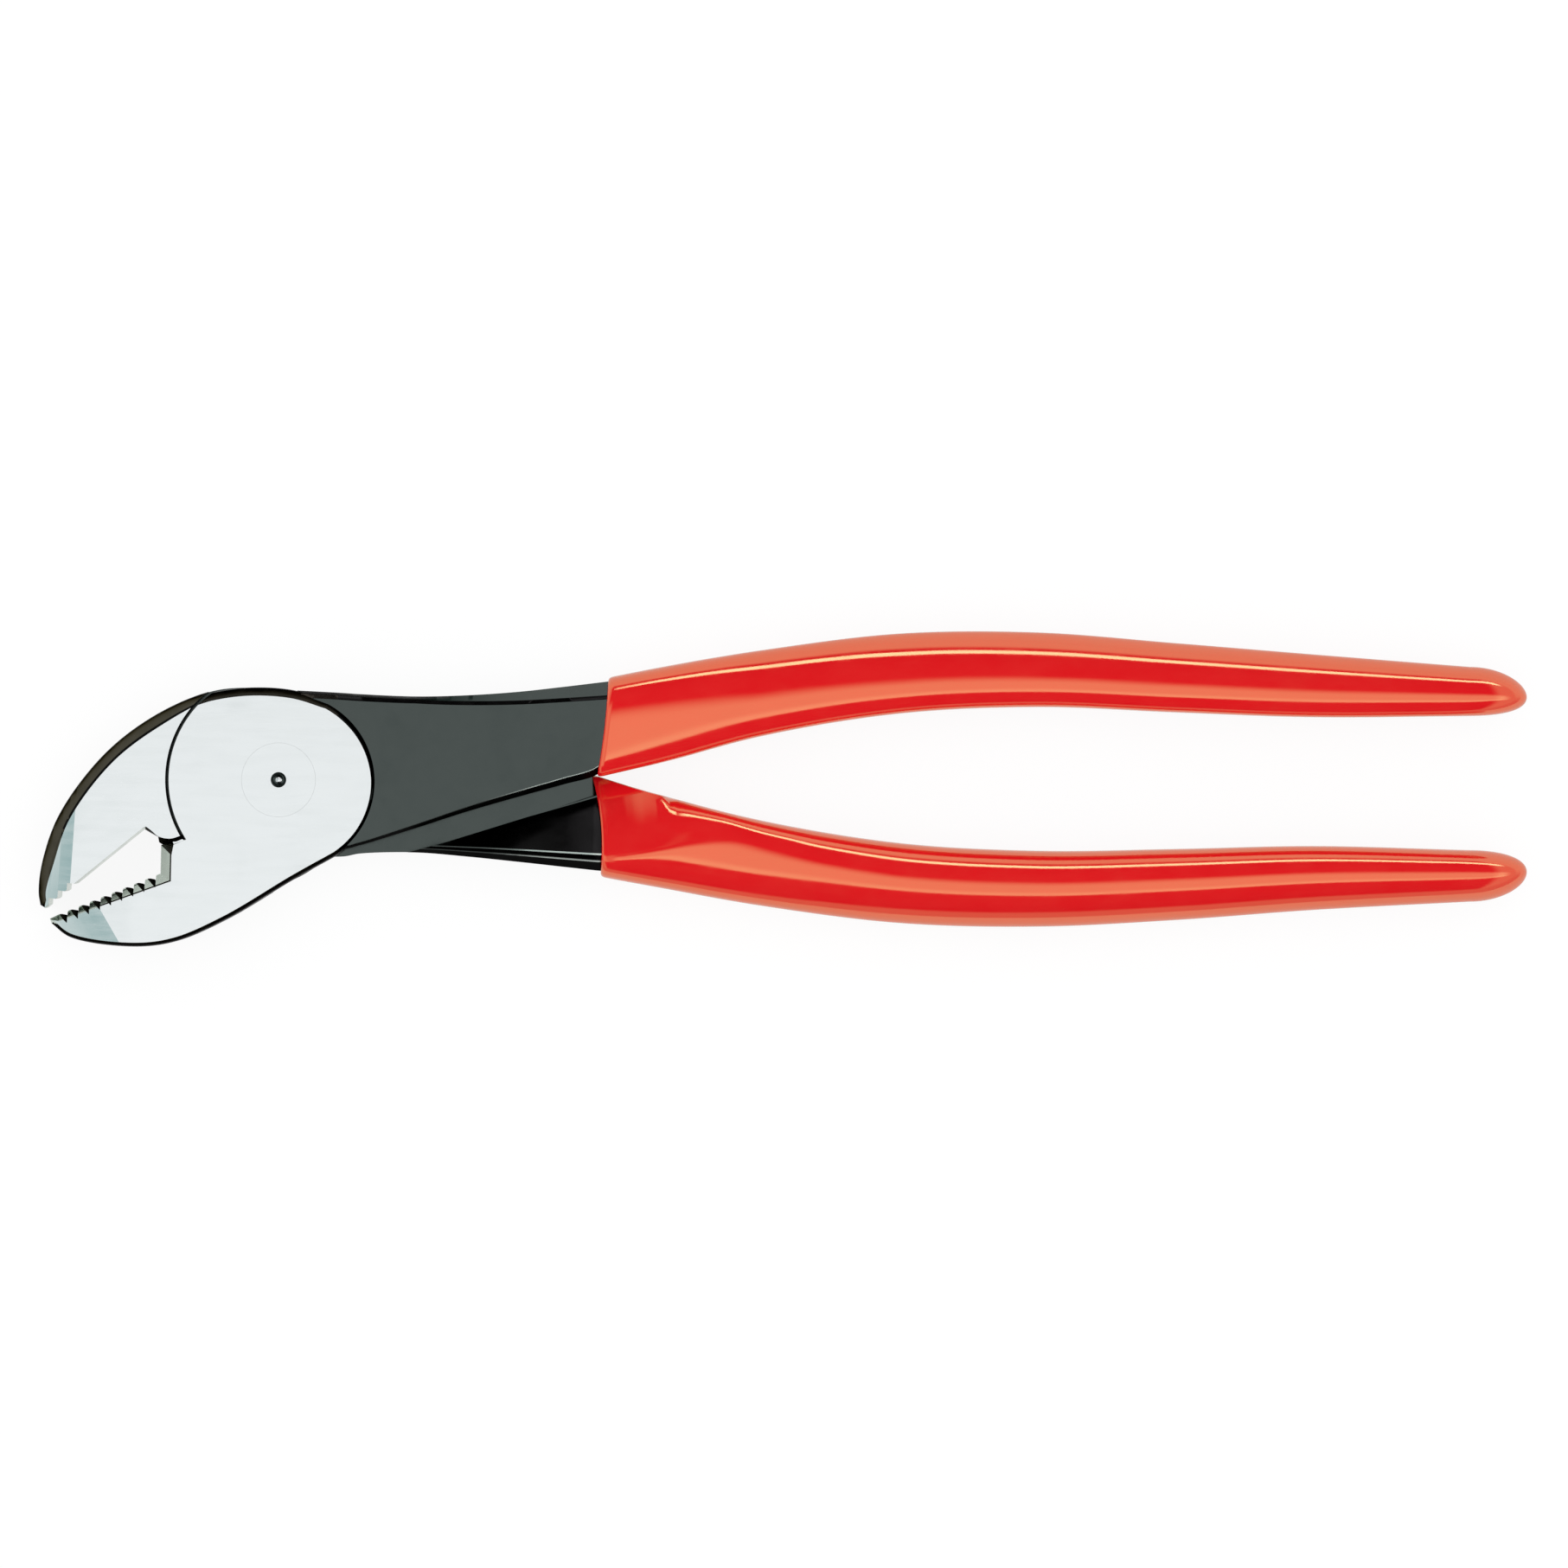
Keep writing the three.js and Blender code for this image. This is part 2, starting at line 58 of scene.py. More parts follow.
def smooth(points, steps=14):
    """Centripetal curve through the points, with this many steps from each to the next."""
    p = np.array(points, float)
    p = np.vstack([2 * p[0] - p[1], p, 2 * p[-1] - p[-2]])
    gaps = np.linalg.norm(np.diff(p, axis=0), axis=1) ** 0.5
    made = []
    for i in range(1, len(p) - 2):
        a, b, c, d = p[i - 1 : i + 3]
        before, here, after = gaps[i - 1 : i + 2]
        leave = ((b - a) / before - (c - a) / (before + here) + (c - b) / here) * here
        arrive = ((c - b) / here - (d - b) / (here + after) + (d - c) / after) * here
        for t in np.arange(steps) / steps:
            bend = (3 * (c - b) - 2 * leave - arrive) * t**2
            made.append(b + leave * t + bend + (2 * (b - c) + leave + arrive) * t**3)
    made.append(p[-2])
    return np.array(made)


def arc(cx, cy, radius, start, end, rim, step=1.5):
    """Points of a round stretch; the third value is the width of the rim there."""
    turns = np.radians(np.linspace(start, end, int(abs(end - start) / step) + 2))
    return np.column_stack([cx + radius * np.cos(turns), cy + radius * np.sin(turns), np.full(len(turns), rim)])


print("a curve through 3 points:", len(smooth(((0, 0), (10, 5), (20, 0)))), "points")

# %% [markdown]
# ## From rings to solids
# A plate or a bar is a stack of rings with the same number of points, closed by
# a face at each end. Cuts are then made with the boolean modifier, the way a
# cutter takes metal off a forging. The result is kept as a plain mesh.

# %% Solids from rings
def add_object(name, data):
    """New object in the scene."""
    made = bpy.data.objects.new(name, data)
    bpy.context.scene.collection.objects.link(made)
    return made


def turn_outward(mesh):
    """Turns all faces of a closed mesh outward."""
    turned = bmesh.new()
    turned.from_mesh(mesh)
    bmesh.ops.recalc_face_normals(turned, faces=turned.faces)
    turned.to_mesh(mesh)
    turned.free()


def add_mesh(name, vertices, faces):
    """New object from points in millimetres, with its faces turned outward."""
    mesh = bpy.data.meshes.new(name)
    mesh.from_pydata((np.array(vertices) * MM).tolist(), [], faces)
    turn_outward(mesh)
    return add_object(name, mesh)


def add_rings(name, rings):
    """Closed solid through rings of equally many points."""
    count = len(rings[0])
    faces = []
    for r in range(len(rings) - 1):
        for i in range(count):
            j = (i + 1) % count
            faces.append((r * count + i, r * count + j, (r + 1) * count + j, (r + 1) * count + i))
    last = (len(rings) - 1) * count
    faces.append(tuple(range(count)))
    faces.append(tuple(range(last, last + count)))
    return add_mesh(name, np.concatenate(rings), faces)


# %% Cut and join
def keep_result(piece):
    """The piece with its modifiers worked into a plain mesh."""
    graph = bpy.context.evaluated_depsgraph_get()
    made = bpy.data.meshes.new_from_object(piece.evaluated_get(graph))
    piece.modifiers.clear()
    old = piece.data
    piece.data = made
    made.name = piece.name
    bpy.data.meshes.remove(old)
    return piece


def combine(piece, operation, *others):
    """Joins the others to the piece or cuts them from it, and removes them."""
    for other in others:
        step = piece.modifiers.new("step", "BOOLEAN")
        step.operation = operation
        step.solver = "MANIFOLD"
        step.object = other
    keep_result(piece)
    for other in others:
        bpy.data.objects.remove(other)


# %% [markdown]
# ## The head plates
# Each half starts as a plate that carries a jaw and one disc of the joint. The
# faces are ground bright, and the edge around them is left as a rounded black
# rim, wide along the back of the upper jaw and narrow around the lower one. A bevel
# has one width all round, so the plate is built from rings instead, with a rim
# width at every point of its outline.

# %% Sizes of the head
HEAD_THICKNESS, MID, CLEAR = 12, 6, 1
JOINT_RADIUS, JOINT_GAP, SEAM_GAP = 18.7, 0.3, 0.58
SHOULDER_IN, SHOULDER_OUT = JOINT_RADIUS - SEAM_GAP / 2, JOINT_RADIUS + SEAM_GAP / 2
BOSS_RIM, DISC_RIM, UPPER_RIM, LOWER_RIM = 0.7, 1.4, 2.1, 0.7
BITE_CHAMFER, THROAT_CHAMFER, TIP_RIM, UPPER_BITE_RIM = 1.1, 1.9, 1.25, 0.08
THROAT_DEPTH, RIM_DEPTH = 1.35, 3
FRONT_SEAM, REAR_SEAM, PAST_SEAM = (152, 212.9), (210, 262), (26, 112, 153)
FRONT_BOSS, REAR_BOSS = (1.3, -0.2, 15, -57, 62), (1.3, 0.2, 15, -62, 57)
BOSS_RIMS = ((-9, 0, 11), (BOSS_RIM, 0.8, 1.2))
RIM_ROUND = ((0, 1), (0.06, 0.81), (0.2, 0.6), (0.42, 0.34), (0.7, 0.1), (1, 0))
LOWER_BITE = ((-19.9, -15.7), (-37.3, -22.7))
THROAT = (LOWER_BITE[0], (-19.8, -10.9))
UPPER_BITE = ((-22.8, -8.2), (-39.2, -21.5))
MOUTH_START, LOWER_TIP, OUTLINE_END = (-17.6, -10.75, 0.12), (-38.5, -23.3, 0.4), (-19.5, 11, 0)
HEEL = ((-22.5, -8.35, 0.6), (-21.4, -9, 0.45), (-20.2, -9.6, 0.15), (-18.2, -9.9, 0.05))
DISC_TOP = ((2.6, 15), (-4.7, 15.5))
DISC_BOTTOM = ((2.6, -16.6),)
print("head:", HEAD_THICKNESS, "mm thick, joint", 2 * JOINT_RADIUS, "mm across")


# %% Outlines of the two plates
def rimmed(points, rim):
    """Outline points with one rim width."""
    return [(x, y, rim) for x, y in points]


def front_outline():
    """Lower jaw and front disc, anticlockwise from the seam; the top runs on past the seam."""
    seam = arc(0, 0, SHOULDER_IN, *FRONT_SEAM, 0)
    mouth = [MOUTH_START, *rimmed(THROAT[::-1], THROAT_CHAMFER), *rimmed(LOWER_BITE[1:], BITE_CHAMFER), LOWER_TIP]
    boss = arc(*FRONT_BOSS, BOSS_RIM)
    boss[:, 2] = np.interp(boss[:, 1], *BOSS_RIMS)
    edge = ((-38.2, -24.1), (-35.1, -26.4), (-25, -27.98), (-17.7, -27.2), (-9, -23.5))
    jaw = smooth([*rimmed(edge + DISC_BOTTOM, LOWER_RIM), boss[0]])
    past = ((-11.42, 14.62), (-16, 13.1))
    top = smooth([boss[-1], *rimmed(DISC_TOP + past, DISC_RIM)])
    return np.vstack([seam, mouth, jaw, boss[1:], top[1:], [OUTLINE_END]])


def rear_outline():
    """Upper jaw and rear disc, anticlockwise from the end of the boss."""
    boss = arc(*REAR_BOSS, BOSS_RIM)
    edge = ((-20.6, 11), (-29.3, 4.4), (-36.9, -5.7), (-39.8, -13.8))
    back = rimmed(DISC_TOP + ((-11.4, 14.9),), DISC_RIM) + rimmed(edge, UPPER_RIM)
    jaw = smooth([boss[-1], *back, (-40.4, -18.8, DISC_RIM), (-40.1, -21, TIP_RIM)])
    shoulder = arc(0, 0, SHOULDER_IN, *REAR_SEAM, 0)
    heel = smooth([*HEEL, shoulder[0]], steps=6)[:-1]
    mouth = np.vstack([rimmed(UPPER_BITE[::-1], UPPER_BITE_RIM), heel])
    below = smooth([shoulder[-1], *rimmed(DISC_BOTTOM, LOWER_RIM), boss[0]])
    return np.vstack([jaw, mouth, shoulder, below[1:], boss[1:-1]])


front_edge, rear_edge = front_outline(), rear_outline()
print("outlines:", len(front_edge), len(rear_edge), "points")


# %% Plates with a rim
LEAST_COSINE = 0.5


def unit(rows):
    """Directions, each made 1 long."""
    return rows / np.linalg.norm(rows, axis=1)[:, None]


def add_plate(name, outline):
    """Plate of the head's thickness whose faces stand back from the outline by each point's rim width."""
    before, after = np.roll(outline, 1, 0), np.roll(outline, -1, 0)
    into, away = unit(outline[:, :2] - before[:, :2]), unit(after[:, :2] - outline[:, :2])
    along = unit(into + away)
    stretch = 1 / np.maximum((along * away).sum(1), LEAST_COSINE)
    inward = np.column_stack([-along[:, 1], along[:, 0]]) * (outline[:, 2] * stretch)[:, None]
    half = [(RIM_DEPTH * depth, part) for depth, part in RIM_ROUND]
    levels = half + [(HEAD_THICKNESS - z, part) for z, part in reversed(half)]
    straight = outline[:, 2] == THROAT_CHAMFER
    rings = []
    for z, part in levels:
        cut = max(0, 1 - min(z, HEAD_THICKNESS - z) / THROAT_DEPTH)
        inset = np.where(straight, cut, part)[:, None]
        rings.append(np.column_stack([outline[:, :2] + inward * inset, np.full(len(outline), z)]))
    return add_rings(name, rings)


def add_block(name, plan, low, high):
    """Prism over a plan, from one height to another; a height may be given for each point."""
    rings = [np.column_stack([plan, np.broadcast_to(z, len(plan))]) for z in (low, high)]
    return add_rings(name, rings)


def add_sector(name, inside, outside, start, end):
    """Piece of a ring through the whole thickness."""
    near, far = arc(0, 0, inside, start, end, 0), arc(0, 0, outside, start, end, 0)
    return add_block(name, np.vstack([near, far[::-1]])[:, :2], -CLEAR, HEAD_THICKNESS + CLEAR)


front_half = add_plate("front_half_forging", front_edge)
combine(front_half, "DIFFERENCE", add_sector("past_seam", SHOULDER_IN, *PAST_SEAM))
rear_half = add_plate("rear_half_forging", rear_edge)
print("plates:", len(front_half.data.vertices), len(rear_half.data.vertices), "points")

# %% [markdown]
# ## Relief at the jaw tips
# The bright faces fall away a little towards the tips, where the nose was ground
# thinner. The bend is only a few degrees, but a mirror shows it clearly as a
# teal band. The face is split along the bend and the tip side is pressed down.

# %% Grind the tips
UPPER_RELIEF = ((-34.4, -10), (-1, 0.07), 5)
LOWER_RELIEF = ((-28.4, -24.3), (-0.87, -0.5), -14)
RELIEF_STEPS = (0, 1, 2, 3.5, 5, 7)


def relieve(piece, line, first=0.056, more=0.004):
    """Presses the front face down beyond a line and below a height, steeper further out."""
    (x, y), (nx, ny), below = line
    size = math.hypot(nx, ny)
    nx, ny = nx / size, ny / size
    shaped = bmesh.new()
    shaped.from_mesh(piece.data)
    for beyond in RELIEF_STEPS:
        at = ((x + nx * beyond) * MM, (y + ny * beyond) * MM, 0)
        every = shaped.verts[:] + shaped.edges[:] + shaped.faces[:]
        bmesh.ops.bisect_plane(shaped, geom=every, plane_co=at, plane_no=(nx, ny, 0), dist=1e-7)
    lowest = 0
    for v in shaped.verts:
        out = (v.co.x / MM - x) * nx + (v.co.y / MM - y) * ny
        part = (v.co.z / MM - (HEAD_THICKNESS - RIM_DEPTH)) / RIM_DEPTH
        if out > 0 and part > 0 and v.co.y / MM < below:
            drop = (first * out + more * out * out) * part
            v.co.z -= drop * MM
            lowest = max(lowest, drop)
    shaped.to_mesh(piece.data)
    shaped.free()
    return lowest


print("relief:", relieve(front_half, LOWER_RELIEF), relieve(rear_half, UPPER_RELIEF), "mm at the tips")

# %% [markdown]
# ## The shanks
# Behind the head each half becomes a flat bar with bevelled edges, slightly
# below the bright faces, and runs into the grip. A curve with a profile would keep
# one section all along, so the bar is a stack of sections that change. The rear
# half's bar rises from the lap as a slanted face, which mirrors a darker part of the
# room than the flat faces beside it.

# %% Edges of the shanks and grips
FRONT_SHANK = (
    (3, -9.5, 15), (10.5, -11.6, 14.6), (13.4, -11, 14.4), (22.9, -8.1, 14), (31.6, -5.3, 14.2),
    (40.3, -2.8, 14.8), (48, -0.7, 15.65), (53, 0.7, 16.25), (55.5, 2.6, 16.55),
)
REAR_SHANK = (
    (3, 9.5, -12.6), (10.5, 11.6, -12.9), (13.4, 11, -12.4), (22.9, 8.1, -12.2), (31.6, 5.3, -12.9),
    (40.3, 2.8, -13.8), (48, 1.2, -14.65), (53, 0.6, -15.2), (55.5, -1.8, -15.45),
)
UPPER_GRIP = (
    (49, -0.9, 16.3), (53.3, 0.1, 17), (63.5, 2.6, 18.9), (80.9, 7.3, 21.8), (104.1, 11.1, 24.6),
    (127.3, 12.2, 24.79), (150.5, 11.3, 23), (173.7, 10.5, 21.1), (200, 10.7, 19),
)
LOWER_GRIP = (
    (49, 2.4, -15.3), (53.3, 1.1, -16.2), (63.5, -2.3, -18.1), (80.9, -6.8, -21.2), (104.1, -10.6, -24.1),
    (127.3, -11.9, -24.7), (150.5, -11.6, -23.6), (173.7, -11.1, -21.9), (200, -11.8, -20.5),
)
print("grips end at", UPPER_GRIP[-1][0], "mm, before their round tips")

# %% Bars
TANG_HALF, TANG_COVERED, GRIP_WALL = 4.6, 3, 1.4
TANG_START, TANG_END, FULL_WIDTH, SIDE_BEVEL = 54, 198, 8.2, 2.4
WORN_EDGE = ((1, 0.87), (0.5, 0.275), (0.4, 0.185), (0.1, 0.012))
BEVEL_ALONG, TUCK_ALONG = ((22.9, 54.8), (1.2, 3)), ((14, 50, 85), (0.4, 1, 2.4))
HALF_ALONG = ((56, 66), (TANG_HALF, TANG_COVERED))
FOOT_ALONG, FOOT_GAP = ((27, 53.3, 66), (-10.4, -2.9, -2.9)), 0.4
LIFT_ALONG = ((38, 53, 54, 56), (0, 0.6, 0.35, -0.1))
FOOT_LEVEL, INNER_LEVEL = 0.1, -0.4
EDGE_OUT, EDGE_DOWN, LINE_WIDTH, LINE_DROP = 0.7, 0.305, 0.17, 0.022


def add_bar(name, shank, grip, slanted):
    """Shank and tang as one bar; a slanted one rises from the lap to a ridge at its outer side."""
    side = math.copysign(1, grip[0][2])
    skin = side * GRIP_WALL
    covered = [(min(x, TANG_END), a + skin, b - skin) for x, a, b in grip if x > TANG_START]
    rings = []
    for x, inner, outer in smooth([*shank, *covered], steps=10):
        slim = min(1, abs(outer - inner) / FULL_WIDTH)
        bevel = slim * np.interp(x, *BEVEL_ALONG)
        tuck = slim * np.interp(x, *TUCK_ALONG)
        half = np.interp(x, *HALF_ALONG)
        deepest = min(SIDE_BEVEL * slim, half / 2)
        wall, inner_wall = half - deepest, half - min(tuck, deepest)
        below = [(inner, -inner_wall), (inner + side * tuck, -half), (outer - side * bevel, -half), (outer, -wall)]
        ridge = outer - side * bevel
        if slanted:
            foot = min(max(np.interp(x, *FOOT_ALONG), ridge), inner - FOOT_GAP)
            top = half + np.interp(x, *LIFT_ALONG)
            edge = [(ridge + side * bevel * out, top - bevel * down) for out, down in WORN_EDGE]
            above = [(ridge, top), (foot, FOOT_LEVEL), (inner + side * tuck / 4, FOOT_LEVEL), (inner, INNER_LEVEL)]
        else:
            edge = [(outer, wall), (ridge + side * EDGE_OUT * slim, half - EDGE_DOWN * slim)]
            seam = inner + side * tuck
            above = [(ridge, half), (seam + side * LINE_WIDTH, half), (seam, half - LINE_DROP), (inner, inner_wall)]
        section = below + edge + above
        rings.append(np.array([(x, y, MID + z) for y, z in section]))
    return add_rings(name, rings)


combine(front_half, "UNION", add_bar("bar", FRONT_SHANK, UPPER_GRIP, False))
combine(rear_half, "UNION", add_bar("bar", REAR_SHANK, LOWER_GRIP, True))
print("with bars:", len(front_half.data.vertices), len(rear_half.data.vertices), "points")

# %% Room for the other half
FRONT_LAP = ((8, 14.11), (28.7, 9.9), (53.3, 4.9), (64, 2.73))
REAR_LAP = ((8, 14.11), (20, 12.6), (27.5, 10.6), (53.3, 2.6), (64, 1))
RISE_FROM, RISE_TO, RISE, FAR_SIDE = 47, 53.3, 1.25, -60


def share(x, start, end):
    """0 before start, 1 after end, straight between."""
    return float(np.clip((x - start) / (end - start), 0, 1))


def add_lap_step(name, side_line):
    """Space that the other shank sweeps, below the front shank; it rises a little at the grip."""
    rings = []
    for x in sorted({RISE_FROM, *(x for x, _ in side_line)}):
        edge = np.interp(x, *zip(*side_line))
        top = MID + JOINT_GAP / 2 + RISE * share(x, RISE_FROM, RISE_TO)
        rings.append(np.array([(x, FAR_SIDE, -CLEAR), (x, edge, -CLEAR), (x, edge, top), (x, FAR_SIDE, top)]))
    return add_rings(name, rings)


def add_lathe(name, profile, sides=128):
    """Solid of revolution about the pivot from (radius, z) pairs that start and end on the axis."""
    turns = np.arange(sides) * 2 * math.pi / sides
    around = [(radius * math.cos(t), radius * math.sin(t), z) for radius, z in profile[1:-1] for t in turns]
    vertices = [(0, 0, profile[0][1]), *around, (0, 0, profile[-1][1])]
    end = len(vertices) - 1
    faces = []
    for i in range(sides):
        j = (i + 1) % sides
        faces.append((0, 1 + i, 1 + j))
        for r in range(len(profile) - 3):
            low, high = 1 + r * sides, 1 + (r + 1) * sides
            faces.append((low + i, low + j, high + j, high + i))
        faces.append((end - sides + i, end - sides + j, end))
    return add_mesh(name, vertices, faces)


def add_joint_bore(name):
    """Room for the other half's disc."""
    top = MID + JOINT_GAP / 2
    return add_lathe(name, ((0, -CLEAR), (SHOULDER_OUT, -CLEAR), (SHOULDER_OUT, top), (0, top)), sides=240)


def turned_over(piece):
    """Half a turn about the X axis, in the middle of the head's thickness."""
    for v in piece.data.vertices:
        v.co.y, v.co.z = -v.co.y, HEAD_THICKNESS * MM - v.co.z
    return piece


combine(front_half, "DIFFERENCE", add_joint_bore("bore"), add_lap_step("lap", FRONT_LAP))
combine(rear_half, "DIFFERENCE", turned_over(add_joint_bore("bore")), turned_over(add_lap_step("lap", REAR_LAP)))
print("halves:", len(front_half.data.vertices), len(rear_half.data.vertices), "points")

# %% [markdown]
# ## The heel
# Where the throat ends, the heel of the upper jaw overhangs the lower one. Below
# the face it carries a sloped foot, and the lower jaw has a pocket for it, so no
# light falls through the gap between them. A narrow bright sill beside the foot
# shows as a glint. All three are simple blocks over a plan.

# %% Foot and pocket at the heel
HEEL_FOOT = (
    (-20.4, -9.3), (-20.2, -10.5), (-19.4, -11), (-18, -11.1), (-16.6, -10.9), (-15.8, -10.3), (-16.15, -9.25),
    (-18.2, -9.4), (-19.8, -9.1),
)
HEEL_SILL = ((-17.9, -10.42), (-17.3, -10.36), (-16.3, -9.95), (-15.9, -10.2), (-16.6, -10.85), (-17.6, -11))
HEEL_POCKET = ((-22, -9), (-22, -11.5), (-20.2, -11.95), (-18.2, -12.1), (-16.2, -11.7), (-15.1, -11), (-15.4, -9.8))
FOOT_LOW, FOOT_TOP = 0.8, (8.9, 8.3, 8.3, 8.3, 8.3, 8.3, 9.2, 9.2, 9.2)
SILL_LOW, SILL_TOP, POCKET_TOP = 0.9, 8.8, 9.5
foot, sill = add_block("foot", HEEL_FOOT, FOOT_LOW, FOOT_TOP), add_block("sill", HEEL_SILL, SILL_LOW, SILL_TOP)
combine(rear_half, "UNION", foot, sill)
combine(front_half, "DIFFERENCE", add_block("pocket", HEEL_POCKET, -CLEAR, POCKET_TOP))
print("heel:", len(front_half.data.vertices), len(rear_half.data.vertices), "points")

# %% [markdown]
# ## The rivet
# One rivet fills a stepped hole through both discs and is ground flush, so only
# a hairline shows around its head. A punch left a small dimple at its middle,
# whose walls take the black finish as painted shade. It is a profile turned
# about the pivot.

# %% Rivet
RIVET = (
    (0, 0), (6.195, 0), (6.2, 0.01), (4, 2.2), (4, 9.8), (6.2, 11.99), (6.195, 12),
    (1.3, 12), (1.2, 11.9), (0.75, 11.45), (0.5, 11.5), (0.3, 11.62), (0, 11.65),
)
HOLE = ((0, -1), (6.212, -1), (6.212, 0.06), (4.1, 2.2), (4.1, 9.8), (6.212, 11.94), (6.212, 13), (0, 13))
rivet = add_lathe("pivot_rivet_head", RIVET)
print("rivet:", len(rivet.data.vertices), "points")

# %% [markdown]
# ## Node helpers
# Shape trees and finishes are both made of nodes. These few helpers add a node
# with its values, do one sum, mix two colours and open a new tree with named
# inputs, so that the trees below stay readable.

# %% Build nodes in a few words
def add_node(tree, kind, values=None, **settings):
    """New node with settings and with input values or links."""
    made = tree.nodes.new(kind)
    for name, value in settings.items():
        setattr(made, name, value)
    for key, value in (values or {}).items():
        if isinstance(value, bpy.types.NodeSocket):
            tree.links.new(value, made.inputs[key])
        else:
            made.inputs[key].default_value = value
    return made


def calc(tree, operation, a, b=0.0):
    """One sum; gives the result's socket."""
    return add_node(tree, "ShaderNodeMath", {0: a, 1: b}, operation=operation).outputs[0]


def ramp(tree, value, start, end, low=0.0, high=1.0, kind="SMOOTHSTEP"):
    """Value turned from the range start to end into the range low to high."""
    values = {"Value": value, "From Min": start, "From Max": end, "To Min": low, "To Max": high}
    return add_node(tree, "ShaderNodeMapRange", values, interpolation_type=kind).outputs[0]


def blend(tree, part, first, second):
    """Mix of two colours: the first where part is 0, the second where it is 1."""
    return add_node(tree, "ShaderNodeMix", {0: part, 6: first, 7: second}, data_type="RGBA").outputs[2]


def parts_of(tree, vector):
    """X, Y and Z of a vector."""
    return add_node(tree, "ShaderNodeSeparateXYZ", {0: vector}).outputs


# %% Trees with named inputs
def new_tree(name, kind, inputs, outputs):
    """Node group with named sockets; gives the tree, its input node and its output node."""
    tree = bpy.data.node_groups.new(name, kind)
    for way, sockets in (("INPUT", inputs), ("OUTPUT", outputs)):
        for label, socket in sockets:
            tree.interface.new_socket(label, in_out=way, socket_type="NodeSocket" + socket)
    return tree, tree.nodes.new("NodeGroupInput"), tree.nodes.new("NodeGroupOutput")


def run_tree(piece, tree, values):
    """Shapes the piece with a tree and keeps the result as a plain mesh."""
    step = piece.modifiers.new("shape", "NODES")
    step.node_group = tree
    for socket in tree.interface.items_tree:
        if socket.in_out == "INPUT" and socket.name in values:
            step[socket.identifier] = values[socket.name]
    return keep_result(piece)


# %% [markdown]
# ## Shared surface effects
# No real surface is even. A first group gives the fine grain of a finish, which
# can be drawn out in one direction like grinding marks. A second gives the soft
# patches that hands and oil leave, and a third a patchy fade along X: wear on the
# scale rims, and a painted highlight on the pale lines along the shanks. All
# of them put out plain masks for the materials.

# %% Grain, handling, and wear and highlight groups
grain, grain_in, grain_out = new_tree(
    "surface_grain", "ShaderNodeTree", (("Scale", "Float"), ("Stretch", "Vector")),
    (("Tone", "Float"), ("Height", "Float")),
)
place = add_node(grain, "ShaderNodeTexCoord").outputs["Object"]
drawn = add_node(grain, "ShaderNodeVectorMath", {0: place, 1: grain_in.outputs["Stretch"]}, operation="MULTIPLY")
noise = {"Vector": drawn.outputs[0], "Scale": grain_in.outputs["Scale"], "Detail": 4.0, "Roughness": 0.6}
tone = add_node(grain, "ShaderNodeTexNoise", noise).outputs["Fac"]
fine = dict(noise, Scale=calc(grain, "MULTIPLY", grain_in.outputs["Scale"], 3.0))
height = add_node(grain, "ShaderNodeTexNoise", fine).outputs["Fac"]
grain.links.new(tone, grain_out.inputs["Tone"])
grain.links.new(height, grain_out.inputs["Height"])

handling, handling_in, handling_out = new_tree(
    "handling_marks", "ShaderNodeTree", (("Scale", "Float"), ("Amount", "Float")), (("Mask", "Float"),)
)
place = add_node(handling, "ShaderNodeTexCoord").outputs["Object"]
patch = {"Vector": place, "Scale": handling_in.outputs["Scale"], "Detail": 2.0, "Distortion": 1.2}
cloud = add_node(handling, "ShaderNodeTexNoise", patch).outputs["Fac"]
patches = ramp(handling, cloud, 0.45, 0.75)
handling.links.new(calc(handling, "MULTIPLY", patches, handling_in.outputs["Amount"]), handling_out.inputs["Mask"])

wear_and_highlight_tree, wear_and_highlight_in, wear_and_highlight_out = new_tree(
    "edge_wear", "ShaderNodeTree", (("From X", "Float"), ("To X", "Float")), (("Mask", "Float"),)
)
place = add_node(wear_and_highlight_tree, "ShaderNodeTexCoord").outputs["Object"]
uneven = add_node(wear_and_highlight_tree, "ShaderNodeTexNoise", {"Vector": place, "Scale": 300.0, "Detail": 3.0}).outputs["Fac"]
along = parts_of(wear_and_highlight_tree, place)["X"]
faded = ramp(wear_and_highlight_tree, along, wear_and_highlight_in.outputs["From X"], wear_and_highlight_in.outputs["To X"])
patchy = calc(wear_and_highlight_tree, "MAXIMUM", faded, ramp(wear_and_highlight_tree, uneven, 0.3, 0.6, 0.4, 1.0))
wear_and_highlight_tree.links.new(calc(wear_and_highlight_tree, "MULTIPLY", faded, patchy), wear_and_highlight_out.inputs["Mask"])
print("groups:", grain.name, handling.name, wear_and_highlight_tree.name)

# %% [markdown]
# ## The finishes
# The ground faces are nearly a mirror with faint grinding marks. The shanks are
# black-finished, so they reflect only a little, and the rims keep the darker scale
# of the forge. The rear half's rims take a lighter, browner copy of it, a painted
# highlight along the back of the upper jaw. The mouth is bare cut steel, the
# notches between the teeth are painted shade in matte near-black, the pale lines
# along the shanks are painted highlight, and the grips are glossy vinyl with a
# slight orange peel. One function makes all of them from a dark and a light tone,
# a roughness range and a grain.

# %% A finish from nodes
BUMP_HEIGHT = 0.1 * MM


